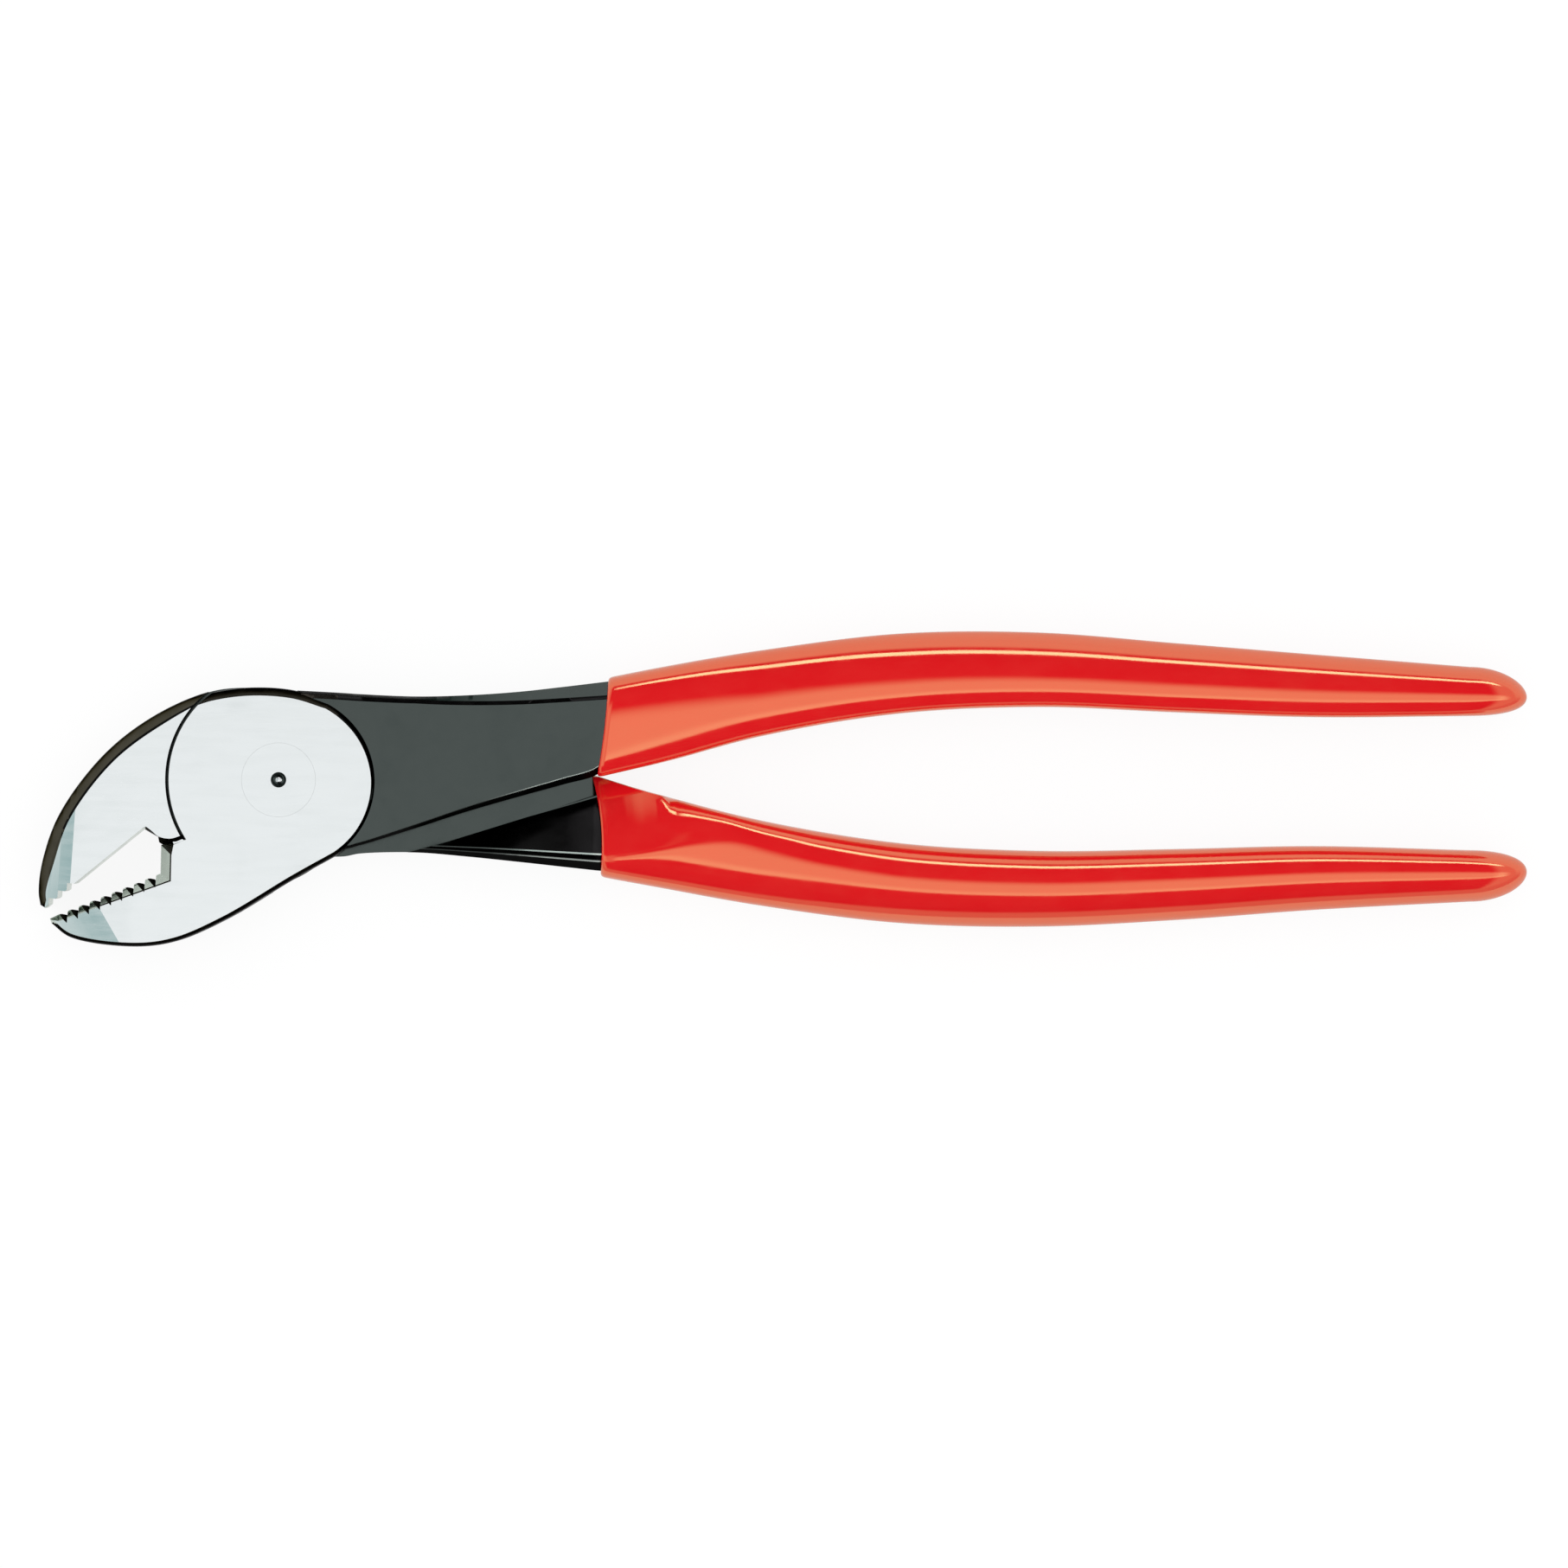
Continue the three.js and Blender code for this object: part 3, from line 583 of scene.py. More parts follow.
def make_finish(name, tones, rough, grain_scale, stretch=(1, 1, 1), bump=0.02, marks=(90, 0.03), wear_and_highlight=None, **plain):
    """Steel, or other, with grain in its colour, roughness and relief, turned to a second tone between two places:
    wear on scale, painted highlight on pale lines.
    """
    material = bpy.data.materials.new(name)
    material.use_nodes = True
    tree = material.node_tree
    shader = tree.nodes["Principled BSDF"]
    for socket, value in {"Metallic": 1.0, **plain}.items():
        shader.inputs[socket.replace("_", " ")].default_value = value
    grained = add_node(tree, "ShaderNodeGroup", {"Scale": grain_scale, "Stretch": stretch}, node_tree=grain)
    handled = add_node(tree, "ShaderNodeGroup", {"Scale": marks[0], "Amount": marks[1]}, node_tree=handling)
    colour = blend(tree, grained.outputs["Tone"], (*tones[0], 1), (*tones[1], 1))
    if wear_and_highlight:
        second_tone, start, end = wear_and_highlight
        uneven = add_node(tree, "ShaderNodeGroup", {"From X": start, "To X": end}, node_tree=wear_and_highlight_tree)
        colour = blend(tree, uneven.outputs["Mask"], colour, (*second_tone, 1))
    tree.links.new(colour, shader.inputs["Base Color"])
    rougher = ramp(tree, grained.outputs["Tone"], 0.3, 0.7, *rough)
    tree.links.new(calc(tree, "ADD", rougher, handled.outputs["Mask"]), shader.inputs["Roughness"])
    bumps = {"Strength": bump, "Distance": BUMP_HEIGHT, "Height": grained.outputs["Height"]}
    relief = add_node(tree, "ShaderNodeBump", bumps)
    tree.links.new(relief.outputs["Normal"], shader.inputs["Normal"])
    return material


# %% Steel and vinyl
bright_steel = make_finish(
    "bright_ground_steel", ((0.755, 0.785, 0.795), (0.83, 0.855, 0.86)), rough=(0.09, 0.14), grain_scale=900,
    stretch=(0.12, 1, 1), marks=(60, 0.03),
)
black_steel = make_finish(
    "black_finished_steel", ((0.066, 0.078, 0.074), (0.08, 0.094, 0.09)), rough=(0.12, 0.18), grain_scale=500,
    Specular_Tint=(0.3, 0.3, 0.3, 1),
)
# The rear half's rims get a lighter, browner copy of the scale, a painted highlight.
SCALES = (
    ("forged_scale", ((0.016, 0.015, 0.012), (0.034, 0.031, 0.025))),
    ("jaw_back_scale", ((0.042, 0.04, 0.029), (0.088, 0.082, 0.062))),
)
forged_scale, jaw_scale_painted_highlight = (
    make_finish(
        name, tones, rough=(0.2, 0.3), grain_scale=400, bump=0.04, marks=(90, 0.05),
        wear_and_highlight=((0.073, 0.086, 0.082), 0.011, 0.025), Specular_Tint=(0.25, 0.25, 0.25, 1),
    )
    for name, tones in SCALES
)
# Painted shade: a near-black scale for the slopes beside the pale lines, the collars and the inner line of the upper
# jaw's rim.
dark_scale = make_finish(
    "dark_scale", ((0.005, 0.005, 0.005), (0.012, 0.012, 0.012)), rough=(0.18, 0.26), grain_scale=300,
    bump=0.03, marks=(90, 0.04), Specular_Tint=(0.2, 0.2, 0.2, 1),
)
# Painted highlight: black steel that turns pale between 33 and 46 mm along X, for the thin lines on the shanks.
painted_highlight_steel = make_finish(
    "worn_black_edge", ((0.05, 0.058, 0.055), (0.07, 0.08, 0.077)), rough=(0.16, 0.24), grain_scale=500,
    wear_and_highlight=((0.5, 0.55, 0.52), 0.033, 0.046),
)
cut_steel = make_finish(
    "bare_cut_steel", ((0.46, 0.53, 0.47), (0.6, 0.67, 0.6)), rough=(0.22, 0.3), grain_scale=600,
    stretch=(1, 1, 0.15), bump=0.015, marks=(120, 0.05),
)
# Painted shade: the notch walls are matte near-black with no reflection at all.
notch_painted_shade = make_finish(
    "tooth_notch_scale", ((0.012, 0.011, 0.008), (0.04, 0.038, 0.028)), rough=(0.5, 0.7), grain_scale=900,
    stretch=(1, 1, 0.3), bump=0.03, marks=(120, 0.05), Metallic=0.0, Specular_IOR_Level=0.0,
)
red_vinyl = make_finish(
    "red_dipped_vinyl", ((0.88, 0.005, 0.012), (0.95, 0.008, 0.018)), rough=(0.07, 0.11), grain_scale=260,
    stretch=(0.5, 1, 1), marks=(70, 0.03), Metallic=0.0, IOR=1.8, Specular_IOR_Level=1.0,
    Specular_Tint=(0.78, 1.0, 0.47, 1),
)
print("finishes:", [m.name for m in bpy.data.materials])

# %% [markdown]
# ## Which faces are bright
# After forging, the whole half is blackened, then its two faces are ground and
# the mouth is cut. So faces that lie flat at the full thickness are bright, the
# ones beside the bite lines are bare cut steel, the rims keep their scale and all
# others are black. Thin pale lines along the shanks are painted highlights, and
# the slopes beside them, the collars behind the head and the inner line of the
# upper jaw's rim carry painted shade.

# %% Give every face its finish
BLACK, BRIGHT, CUT, SCALE, PAINTED_HIGHLIGHT, PAINTED_SHADE = range(6)
LOWEST_FACE, BACK_FACE, EDGE_LINE = 11.2, 0.1, 0.2
HANDLE_START, RIM_END, PAINTED_HIGHLIGHT_FROM, COLLAR_OVER, SAME_LEVEL = 10, 26, 8, 0.05, 0.01
FLAT, RIM_UP, HANDLE_UP, RIDGE_UP, CORNER_UP = 0.98, 0.95, 0.3, 0.95, (0.7, 0.79)
SLOPE_SIDE, LINE_SIDE, OUTER_SIDE, OUTER_UP = 0.3, (-0.2, -0.08), 0.35, 0.8
BITE_REACH, THROAT_REACH, UPPER_REACH = 1.35, 1.65, 0.3


def off_line(point, line):
    """Distance in the plane of the head from a point to a stretch between two points."""
    a, b = np.array(line[0]), np.array(line[1])
    p = np.array((point.x, point.y)) / MM
    t = np.clip(np.dot(p - a, b - a) / np.dot(b - a, b - a), 0, 1)
    return np.linalg.norm(p - a - t * (b - a))


def give_finishes(piece, cut_lines, slanted):
    """Material slots by where a face lies and which way it looks; pale lines are painted highlight and dark slopes
    painted shade, placed differently on a slanted bar.
    """
    piece.data.materials.clear()
    scale = jaw_scale_painted_highlight if slanted else forged_scale
    for material in (black_steel, bright_steel, cut_steel, scale, painted_highlight_steel, dark_scale):
        piece.data.materials.append(material)
    counts = [0] * 6
    for face in piece.data.polygons:
        x, z = face.center.x / MM, face.center.z / MM
        side, up = face.normal.y, face.normal.z
        flat = abs(up) > FLAT and (z > LOWEST_FACE or z < BACK_FACE or abs(z - SILL_TOP) < SAME_LEVEL)
        mouth = any(off_line(face.center, line) < reach for line, reach in cut_lines)
        rim = abs(up) < RIM_UP and x < RIM_END
        collar = rim and x > HANDLE_START and abs(z - MID) > TANG_HALF + COLLAR_OVER
        handle = x > HANDLE_START and z > MID and up > HANDLE_UP
        # Painted highlight lines: the ridge and corner faces of the slanted bar, the narrow seam facet of the front
        # bar.
        if slanted:
            corner = side < 0 and CORNER_UP[0] < up < CORNER_UP[1]
            wear_and_highlight = handle and z > PAINTED_HIGHLIGHT_FROM and (up > RIDGE_UP or corner)
            painted_shade = (handle and abs(side) > SLOPE_SIDE) or (rim and z > HEAD_THICKNESS - EDGE_LINE)
        else:
            wear_and_highlight = handle and LINE_SIDE[0] < side < LINE_SIDE[1]
            painted_shade = handle and (side < -SLOPE_SIDE or (side > OUTER_SIDE and up > OUTER_UP))
        # Slopes beside the pale lines, collars behind the head and the upper jaw rim's inner line take painted shade.
        choices = ((flat, BRIGHT), (mouth, CUT), (wear_and_highlight, PAINTED_HIGHLIGHT), (painted_shade or collar, PAINTED_SHADE), (rim, SCALE), (True, BLACK))
        face.material_index = next(slot for fits, slot in choices if fits)
        counts[face.material_index] += 1
    return counts


print("front faces:", give_finishes(front_half, ((LOWER_BITE, BITE_REACH), (THROAT, THROAT_REACH)), False))
print("rear faces:", give_finishes(rear_half, ((UPPER_BITE, UPPER_REACH),), True))

# %% [markdown]
# ## The teeth
# The lower jaw has a row of V notches along its bite and the upper jaw has three
# near the tip. One shape tree lays a line of three-sided bars along the bite and
# cuts them all at once. Its inputs say where the row starts, how far apart the
# notches are and how deep they go.

# %% Shape tree of a tooth row
teeth, teeth_in, teeth_out = new_tree(
    "tooth_row", "GeometryNodeTree",
    (
        ("Jaw", "Geometry"), ("Start", "Vector"), ("Step", "Vector"), ("Turn", "Float"), ("Lean", "Float"),
        ("Count", "Int"), ("Depth", "Float"), ("Half Width", "Float"), ("Height", "Float"), ("Finish", "Material"),
    ),
    (("Cut Jaw", "Geometry"),),
)
asked = teeth_in.outputs
line = {"Count": asked["Count"], "Start Location": asked["Start"], "Offset": asked["Step"]}
row = add_node(teeth, "GeometryNodeMeshLine", line)
prism = {"Vertices": 3, "Radius": 1.0, "Depth": asked["Height"]}
bar = add_node(teeth, "GeometryNodeMeshCylinder", prism)
corner = parts_of(teeth, add_node(teeth, "GeometryNodeInputPosition").outputs[0])
wide = calc(teeth, "DIVIDE", asked["Half Width"], math.sin(math.pi / 3))
deep = calc(teeth, "DIVIDE", asked["Depth"], 1.5)
scale = add_node(teeth, "ShaderNodeCombineXYZ", {"X": deep, "Y": wide, "Z": 1.0})
turn = add_node(teeth, "ShaderNodeCombineXYZ", {"Z": asked["Turn"]})
deeper = calc(teeth, "DIVIDE", calc(teeth, "MULTIPLY", corner["Z"], asked["Lean"]), deep)
at_point = calc(teeth, "GREATER_THAN", corner["X"], 0.0)
ahead = add_node(teeth, "ShaderNodeCombineXYZ", {"X": calc(teeth, "MULTIPLY", deeper, at_point)})
leaning = add_node(teeth, "GeometryNodeSetPosition", {"Geometry": bar.outputs["Mesh"], "Offset": ahead.outputs[0]})
bars = add_node(
    teeth, "GeometryNodeInstanceOnPoints",
    {
        "Points": row.outputs[0], "Instance": leaning.outputs[0],
        "Rotation": turn.outputs[0], "Scale": scale.outputs[0],
    },
)
real = add_node(teeth, "GeometryNodeRealizeInstances", {"Geometry": bars.outputs[0]})
coat = {"Geometry": real.outputs[0], "Material": asked["Finish"]}
dressed = add_node(teeth, "GeometryNodeSetMaterial", coat)
cut = add_node(
    teeth, "GeometryNodeMeshBoolean", {0: asked["Jaw"], 1: dressed.outputs[0]},
    operation="DIFFERENCE", solver="MANIFOLD",
)
teeth.links.new(cut.outputs[0], teeth_out.inputs[0])
print("tooth row:", len(teeth.nodes), "nodes")

# %% Cut the teeth
TOOTH_PITCH, TOOTH_LAND, CUTTER_LENGTH = 2, 0.3, 15


def refinish(piece, known, finish):
    """Gives the faces that a cut left without a finish one of the known slots, and drops the empty slots."""
    for face in piece.data.polygons:
        if face.material_index >= known:
            face.material_index = finish
    while len(piece.data.materials) > known:
        piece.data.materials.pop()


def cut_teeth(piece, bite, start, count, depth, side, lean, finish):
    """Row of notches along a bite line, into the jaw on one side of it, deeper in front by a slope."""
    a, b = np.array(bite[0]), np.array(bite[1])
    along = (b - a) / np.linalg.norm(b - a)
    into = side * np.array((-along[1], along[0]))
    over = TOOTH_LAND / 4
    half = (TOOTH_PITCH - TOOTH_LAND) / 2 * (depth + over) / depth
    first = a + along * (start + TOOTH_PITCH / 2) + into * ((depth + over) / 3 - over)
    values = {
        "Start": (*(first * MM), MID * MM), "Step": (*(along * TOOTH_PITCH * MM), 0.0),
        "Turn": math.atan2(into[1], into[0]), "Lean": lean, "Count": count, "Depth": (depth + over) * MM,
        "Half Width": half * MM, "Height": CUTTER_LENGTH * MM, "Finish": finish,
    }
    if finish.name not in piece.data.materials:
        piece.data.materials.append(finish)
    known = len(piece.data.materials)
    run_tree(piece, teeth, values)
    refinish(piece, known, piece.data.materials.find(finish.name))


cut_teeth(front_half, LOWER_BITE, start=0.6, count=9, depth=1.3, side=1, lean=0.1, finish=notch_painted_shade)
cut_teeth(rear_half, UPPER_BITE, start=14.5, count=3, depth=0.9, side=-1, lean=0, finish=cut_steel)
print("with teeth:", len(front_half.data.polygons), len(rear_half.data.polygons), "faces")

# %% [markdown]
# ## Rounding the forged edges
# No edge of a used tool is perfectly sharp. A narrow bevel on every corner
# catches the light as a thin line. Normals are weighted by face size afterwards,
# so that large ground faces stay flat. The hole is cut last, which keeps its edge
# sharp against the rivet.

# %% Bevel and shade
EDGE_WIDTH, BEVEL_ANGLE, SHARP_ANGLE, LEVEL, WELD_WITHIN = 0.12, 28, 22, 0.9995, 2e-6
PUNCH_FLOOR, PUNCH_INSIDE, PUNCH_OUTSIDE, RIVET_SHARP = 11.3, 0.45, 1.29, 25


def soften(piece, width):
    """Narrow rounded corners, then the rivet's hole, smooth shading and flat large faces."""
    weld = piece.modifiers.new("weld", "WELD")
    weld.merge_threshold = WELD_WITHIN
    bevel = piece.modifiers.new("bevel", "BEVEL")
    bevel.width = width * MM
    bevel.segments = 2
    bevel.limit_method = "ANGLE"
    bevel.angle_limit = math.radians(BEVEL_ANGLE)
    keep_result(piece)
    known = len(piece.data.materials)
    combine(piece, "DIFFERENCE", add_lathe("hole", HOLE))
    refinish(piece, known, BRIGHT)
    piece.data.set_sharp_from_angle(angle=math.radians(SHARP_ANGLE))
    for face in piece.data.polygons:
        face.use_smooth = abs(face.normal.z) < LEVEL
    weighted = piece.modifiers.new("weighted", "WEIGHTED_NORMAL")
    weighted.keep_sharp = True
    return keep_result(piece)


for piece in (front_half, rear_half):
    soften(piece, EDGE_WIDTH)
for material in (bright_steel, black_steel):
    rivet.data.materials.append(material)
# Walls of the punch dimple take the black finish: painted shade in the hollow.
for face in rivet.data.polygons:
    reach = math.hypot(face.center.x, face.center.y) / MM
    face.material_index = int(face.center.z > PUNCH_FLOOR * MM and PUNCH_INSIDE < reach < PUNCH_OUTSIDE)
rivet.data.set_sharp_from_angle(angle=math.radians(RIVET_SHARP))
print("softened:", len(front_half.data.polygons), len(rear_half.data.polygons), "faces")

# %% [markdown]
# ## The dipped grips
# Each tang was dipped in liquid vinyl, which left a glossy sleeve with a round
# end. It follows a rule, so a shape tree makes it. Every row of a grid is one
# section around the tang, a rounded square whose width, thickness and squareness
# come from the points of a spine. The rows run along the outside, over the lip
# and back along the inside, so the sleeve is closed and really hollow.

# %% Points along a grip
GRIP_HALF, GRIP_TIP_HALF, TIP_LENGTH, TIP_STEPS = 6.0, 5.0, 9.58, 24
GRIP_SKIN, HOLLOW_END, HOLLOW_CAP = 1.1, 199, ((0.5, 0.5), (0.6, 0))
MOUTH_REACH, GRIP_TAPER = 14, (130, 198)
LIP = ((0.9, 0), (0.5, 0.04), (0.22, 0.14), (0.06, 0.3), (0, 0.5), (0.05, 0.75), (0.3, 0.98), (0.9, GRIP_SKIN))


def add_spine(name, grip, tip_y, mouth, lean, bow, crown, square, facet):
    """Line of points along a grip that carries the size of every section; lists give values by place along X."""
    rows = []
    edges = smooth(grip)
    end_x, end_inner, end_outer = edges[-1]
    for i in range(TIP_STEPS, 0, -1):
        turn = math.radians(90 * i / TIP_STEPS)
        reach, shrink = math.sin(turn), math.cos(turn) if i < TIP_STEPS else 0
        y = np.interp(reach**2, (0, 1), ((end_inner + end_outer) / 2, tip_y))
        rows.append((end_x + TIP_LENGTH * reach, y, abs(end_outer - end_inner) / 2, shrink, 0))
    stations = [(*edge, 0) for edge in edges[::-1] if edge[0] > mouth + 1]
    for ahead, inset in LIP:
        inner, outer = (np.interp(mouth + ahead, edges[:, 0], edges[:, side]) for side in (1, 2))
        stations.append((mouth + ahead, inner, outer, inset))
    stations += [(*edge, GRIP_SKIN) for edge in edges if mouth + 2 < edge[0] <= HOLLOW_END]
    rows += [(x, (inner + outer) / 2, abs(outer - inner) / 2, 1, inset) for x, inner, outer, inset in stations]
    for beyond, shrink in HOLLOW_CAP:
        rows.append((HOLLOW_END + beyond, rows[-1][1], rows[-1][2], shrink, GRIP_SKIN))
    spine = add_object(name, bpy.data.meshes.new(name))
    spine.data.from_pydata([(x * MM, y * MM, MID * MM) for x, y, *_ in rows], [], [])
    size, bend, crowns = [], [], []
    crown_x, amounts, shifts = crown
    facet_x, ridges, slopes = facet
    for x, _, wide, shrink, inset in rows:
        thick = np.interp(x, GRIP_TAPER, (GRIP_HALF, GRIP_TIP_HALF))
        near = 1 - share(x, mouth, mouth + MOUTH_REACH)
        size += [(wide - inset) * shrink * MM, (thick - inset) * shrink * MM, np.interp(x, *square)]
        bend += [lean * near * MM, bow * near * MM, np.interp(x, facet_x, ridges)]
        crowns += [np.interp(x, crown_x, amounts), np.interp(x, crown_x, shifts), np.interp(x, facet_x, slopes)]
    for label, values in (("size", size), ("bend", bend), ("crown", crowns)):
        spine.data.attributes.new(label, "FLOAT_VECTOR", "POINT").data.foreach_set("vector", values)
    return spine


# %% Spines of the two grips
UPPER_CROWN = ((56, 80, 104, 130, 209), (0.1, 0.25, 0.3, 0.3, 0.3), (0.12, -0.2, -0.32, -0.34, -0.2))
LOWER_CROWN = ((56, 66, 80, 104, 130, 209), (0, 0.1, 0.16, 0.3, 0.3, 0.3), (0.3, 0.3, 0.2, 0.08, 0.06, 0.1))
UPPER_SQUARE = ((54, 196, 209), (9, 8, 2.4))
LOWER_SQUARE = ((54, 63.6, 65.5, 69, 75, 81, 90, 198, 209), (40, 40, 3.6, 4.2, 5, 3.9, 3.1, 3.1, 2.4))
NO_FACET = ((54, 209), (1.2, 1.2), (0, 0))
LOWER_FACET = (
    (55, 58, 60, 63, 66, 69, 75, 82, 92), (-0.62, -0.48, -0.38, -0.24, -0.09, 0.05, 0.33, 0.6, 1),
    (0.49, 0.475, 0.44, 0.35, 0.25, 0.17, 0.08, 0.04, 0),
)
upper_spine = add_spine(
    "upper_spine", UPPER_GRIP, tip_y=13.9, mouth=54.6, lean=0.9, bow=-0.3,
    crown=UPPER_CROWN, square=UPPER_SQUARE, facet=NO_FACET,
)
lower_spine = add_spine(
    "lower_spine", LOWER_GRIP, tip_y=-15.5, mouth=54.0, lean=-0.7, bow=-0.8,
    crown=LOWER_CROWN, square=LOWER_SQUARE, facet=LOWER_FACET,
)
print("spines:", len(upper_spine.data.vertices), len(lower_spine.data.vertices), "sections")

# %% [markdown]
# The tree reads one spine point per row and bends the grid's columns around it.
# The crown rounds the broad sides, the lean and bow shape the edge of the mouth,
# and the inner corner slants down near the crotch, as the bar below it does. The
# slant begins at a ridge, which runs out to the edge along the grip.

# %% Rows and columns of a sleeve
sleeve, sleeve_in, sleeve_out = new_tree(
    "dipped_sleeve", "GeometryNodeTree",
    (("Blank", "Geometry"), ("Spine", "Object"), ("Sides", "Int"), ("Inner Side", "Float"), ("Finish", "Material")),
    (("Sleeve", "Geometry"),),
)
asked = sleeve_in.outputs


def times(a, b):
    """Product of two values in the sleeve's tree."""
    return calc(sleeve, "MULTIPLY", a, b)


def less(a, b):
    """What is left of a without b."""
    return calc(sleeve, "SUBTRACT", a, b)


points = add_node(sleeve, "GeometryNodeObjectInfo", {"Object": asked["Spine"]}).outputs["Geometry"]
count = add_node(sleeve, "GeometryNodeAttributeDomainSize", {"Geometry": points}).outputs["Point Count"]
long = less(count, 1.0)
columns = calc(sleeve, "ADD", asked["Sides"], 1.0)
grid = add_node(
    sleeve, "GeometryNodeMeshGrid",
    {"Size X": long, "Size Y": asked["Sides"], "Vertices X": count, "Vertices Y": columns},
)
place = parts_of(sleeve, add_node(sleeve, "GeometryNodeInputPosition").outputs[0])
row = calc(sleeve, "ROUND", calc(sleeve, "ADD", place["X"], times(long, 0.5)))
turn = calc(sleeve, "DIVIDE", times(place["Y"], 2 * math.pi), asked["Sides"])


def from_spine(label):
    """Values that the spine's point for this row carries."""
    source = add_node(sleeve, "GeometryNodeInputNamedAttribute", {"Name": label}, data_type="FLOAT_VECTOR").outputs[0]
    values = {"Geometry": points, "Value": source, "Index": row}
    sample = add_node(sleeve, "GeometryNodeSampleIndex", values, data_type="FLOAT_VECTOR")
    return parts_of(sleeve, sample.outputs[0])


middle = from_spine("position")
wide, thick, square = from_spine("size")
lean, bow, ridge = from_spine("bend")
crown, shift, slope = from_spine("crown")
print("rows and columns:", len(sleeve.nodes), "nodes")

# %% Section around the tang
OUTER_SQUARE, RIDGE_BLEND = 3.3, 0.12
across, up = calc(sleeve, "COSINE", turn), calc(sleeve, "SINE", turn)
inner = asked["Inner Side"]
outside = calc(sleeve, "LESS_THAN", times(across, inner), 0.0)
rounder = calc(sleeve, "MAXIMUM", less(square, OUTER_SQUARE), 0.0)
square = less(square, times(rounder, outside))
grown = [calc(sleeve, "POWER", calc(sleeve, "ABSOLUTE", part), square) for part in (across, up)]
radius = calc(sleeve, "POWER", calc(sleeve, "ADD", *grown), calc(sleeve, "DIVIDE", -1.0, square))
across, up = times(across, radius), times(up, radius)
beside = times(across, inner)
past = {0: less(beside, ridge), 1: 0.0, 2: RIDGE_BLEND}
facet = add_node(sleeve, "ShaderNodeMath", past, operation="SMOOTH_MAX").outputs[0]
half_drop = times(times(wide, facet), times(slope, 0.5))
off = less(across, shift)
rounded = times(crown, times(off, off))
thin = less(times(thick, less(1.0, rounded)), half_drop)
level = less(middle["Z"], times(half_drop, inner))
bowed = times(bow, times(across, across))
curl = calc(sleeve, "ADD", times(lean, across), bowed)
x = calc(sleeve, "ADD", middle["X"], curl)
y = calc(sleeve, "ADD", middle["Y"], times(wide, across))
z = calc(sleeve, "ADD", level, times(thin, up))
target = add_node(sleeve, "ShaderNodeCombineXYZ", {"X": x, "Y": y, "Z": z}).outputs[0]
bent = add_node(sleeve, "GeometryNodeSetPosition", {"Geometry": grid.outputs["Mesh"], "Position": target})
closed = add_node(sleeve, "GeometryNodeMergeByDistance", {"Geometry": bent.outputs[0], "Distance": WELD_WITHIN})
eased = add_node(sleeve, "GeometryNodeSetShadeSmooth", {"Geometry": closed.outputs[0]})
real = add_node(sleeve, "GeometryNodeRealizeInstances", {"Geometry": eased.outputs[0]})
coat = {"Geometry": real.outputs[0], "Material": asked["Finish"]}
dressed = add_node(sleeve, "GeometryNodeSetMaterial", coat)
sleeve.links.new(dressed.outputs[0], sleeve_out.inputs[0])
print("sleeve:", len(sleeve.nodes), "nodes")

# %% Make the grips
GRIP_SIDES = 96


def add_grip(name, spine, inner_side):
    """Sleeve around a spine, as a plain mesh with its faces outward."""
    piece = add_object(name, bpy.data.meshes.new(name))
    run_tree(piece, sleeve, {"Spine": spine, "Sides": GRIP_SIDES, "Inner Side": inner_side, "Finish": red_vinyl})
    bpy.data.objects.remove(spine)
    turn_outward(piece.data)
    return piece


upper_grip = add_grip("upper_grip_sleeve", upper_spine, -1.0)
lower_grip = add_grip("lower_grip_sleeve", lower_spine, 1.0)
print("grips:", len(upper_grip.data.polygons), len(lower_grip.data.polygons), "faces")

# %% [markdown]
# At the crotch the upper grip closes over the slanted face of the lower one, so
# it has a notch behind its inner corner. The vinyl is thick there: the corner is
# filled first and the notch is cut from it, with a ledge that slopes to the edge.

# %% Notch at the crotch
NOTCH_FILLING = ((54, -4.4), (60.6, -3), (60.6, -2.3), (54, -1.1))
NOTCH_PLAN = np.array(((50, -4.3), (60.5, -1.6), (60.5, 6), (50, 6)))
FILLING_LOW, FILLING_TOP, NOTCH_TOP, LEDGE, LEDGE_SLOPE = 4.7, 8, 14, MID - 1.1, 0.25
GRIP_SHARP = 35
combine(upper_grip, "UNION", turned_over(add_block("filling", NOTCH_FILLING, FILLING_LOW, FILLING_TOP)))
ledge = LEDGE - LEDGE_SLOPE * NOTCH_PLAN[:, 1]
combine(upper_grip, "DIFFERENCE", turned_over(add_block("notch", NOTCH_PLAN, ledge, NOTCH_TOP)))
for piece in (upper_grip, lower_grip):
    piece.data.materials.clear()
    piece.data.materials.append(red_vinyl)
    refinish(piece, 1, 0)
    piece.data.set_sharp_from_angle(angle=math.radians(GRIP_SHARP))
print("notched:", len(upper_grip.data.polygons), "faces")

# %% [markdown]
# ## Riding on the frame
# The front half carries the upper grip and turns about the rivet. The rear half,
# the rivet and the lower grip stay together. Each fine piece takes the place of
# the plain one in the measured frame.

# %% Tie the pieces to the bodies
STANDS_FOR = (
    (front_half, "front_half", "front_half", "forged_steel"),
    (upper_grip, "front_half", "upper_grip", "red_vinyl"),
    (rear_half, "rear_half", "rear_half", "forged_steel"),
    (rivet, "rear_half", "pivot_rivet", "polished_steel"),
    (lower_grip, "rear_half", "lower_grip", "red_vinyl"),
)
for piece, body, node, finish in STANDS_FOR:
    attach(piece, body)
    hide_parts(node)
print("pieces:", [piece.name for piece, *_ in STANDS_FOR])

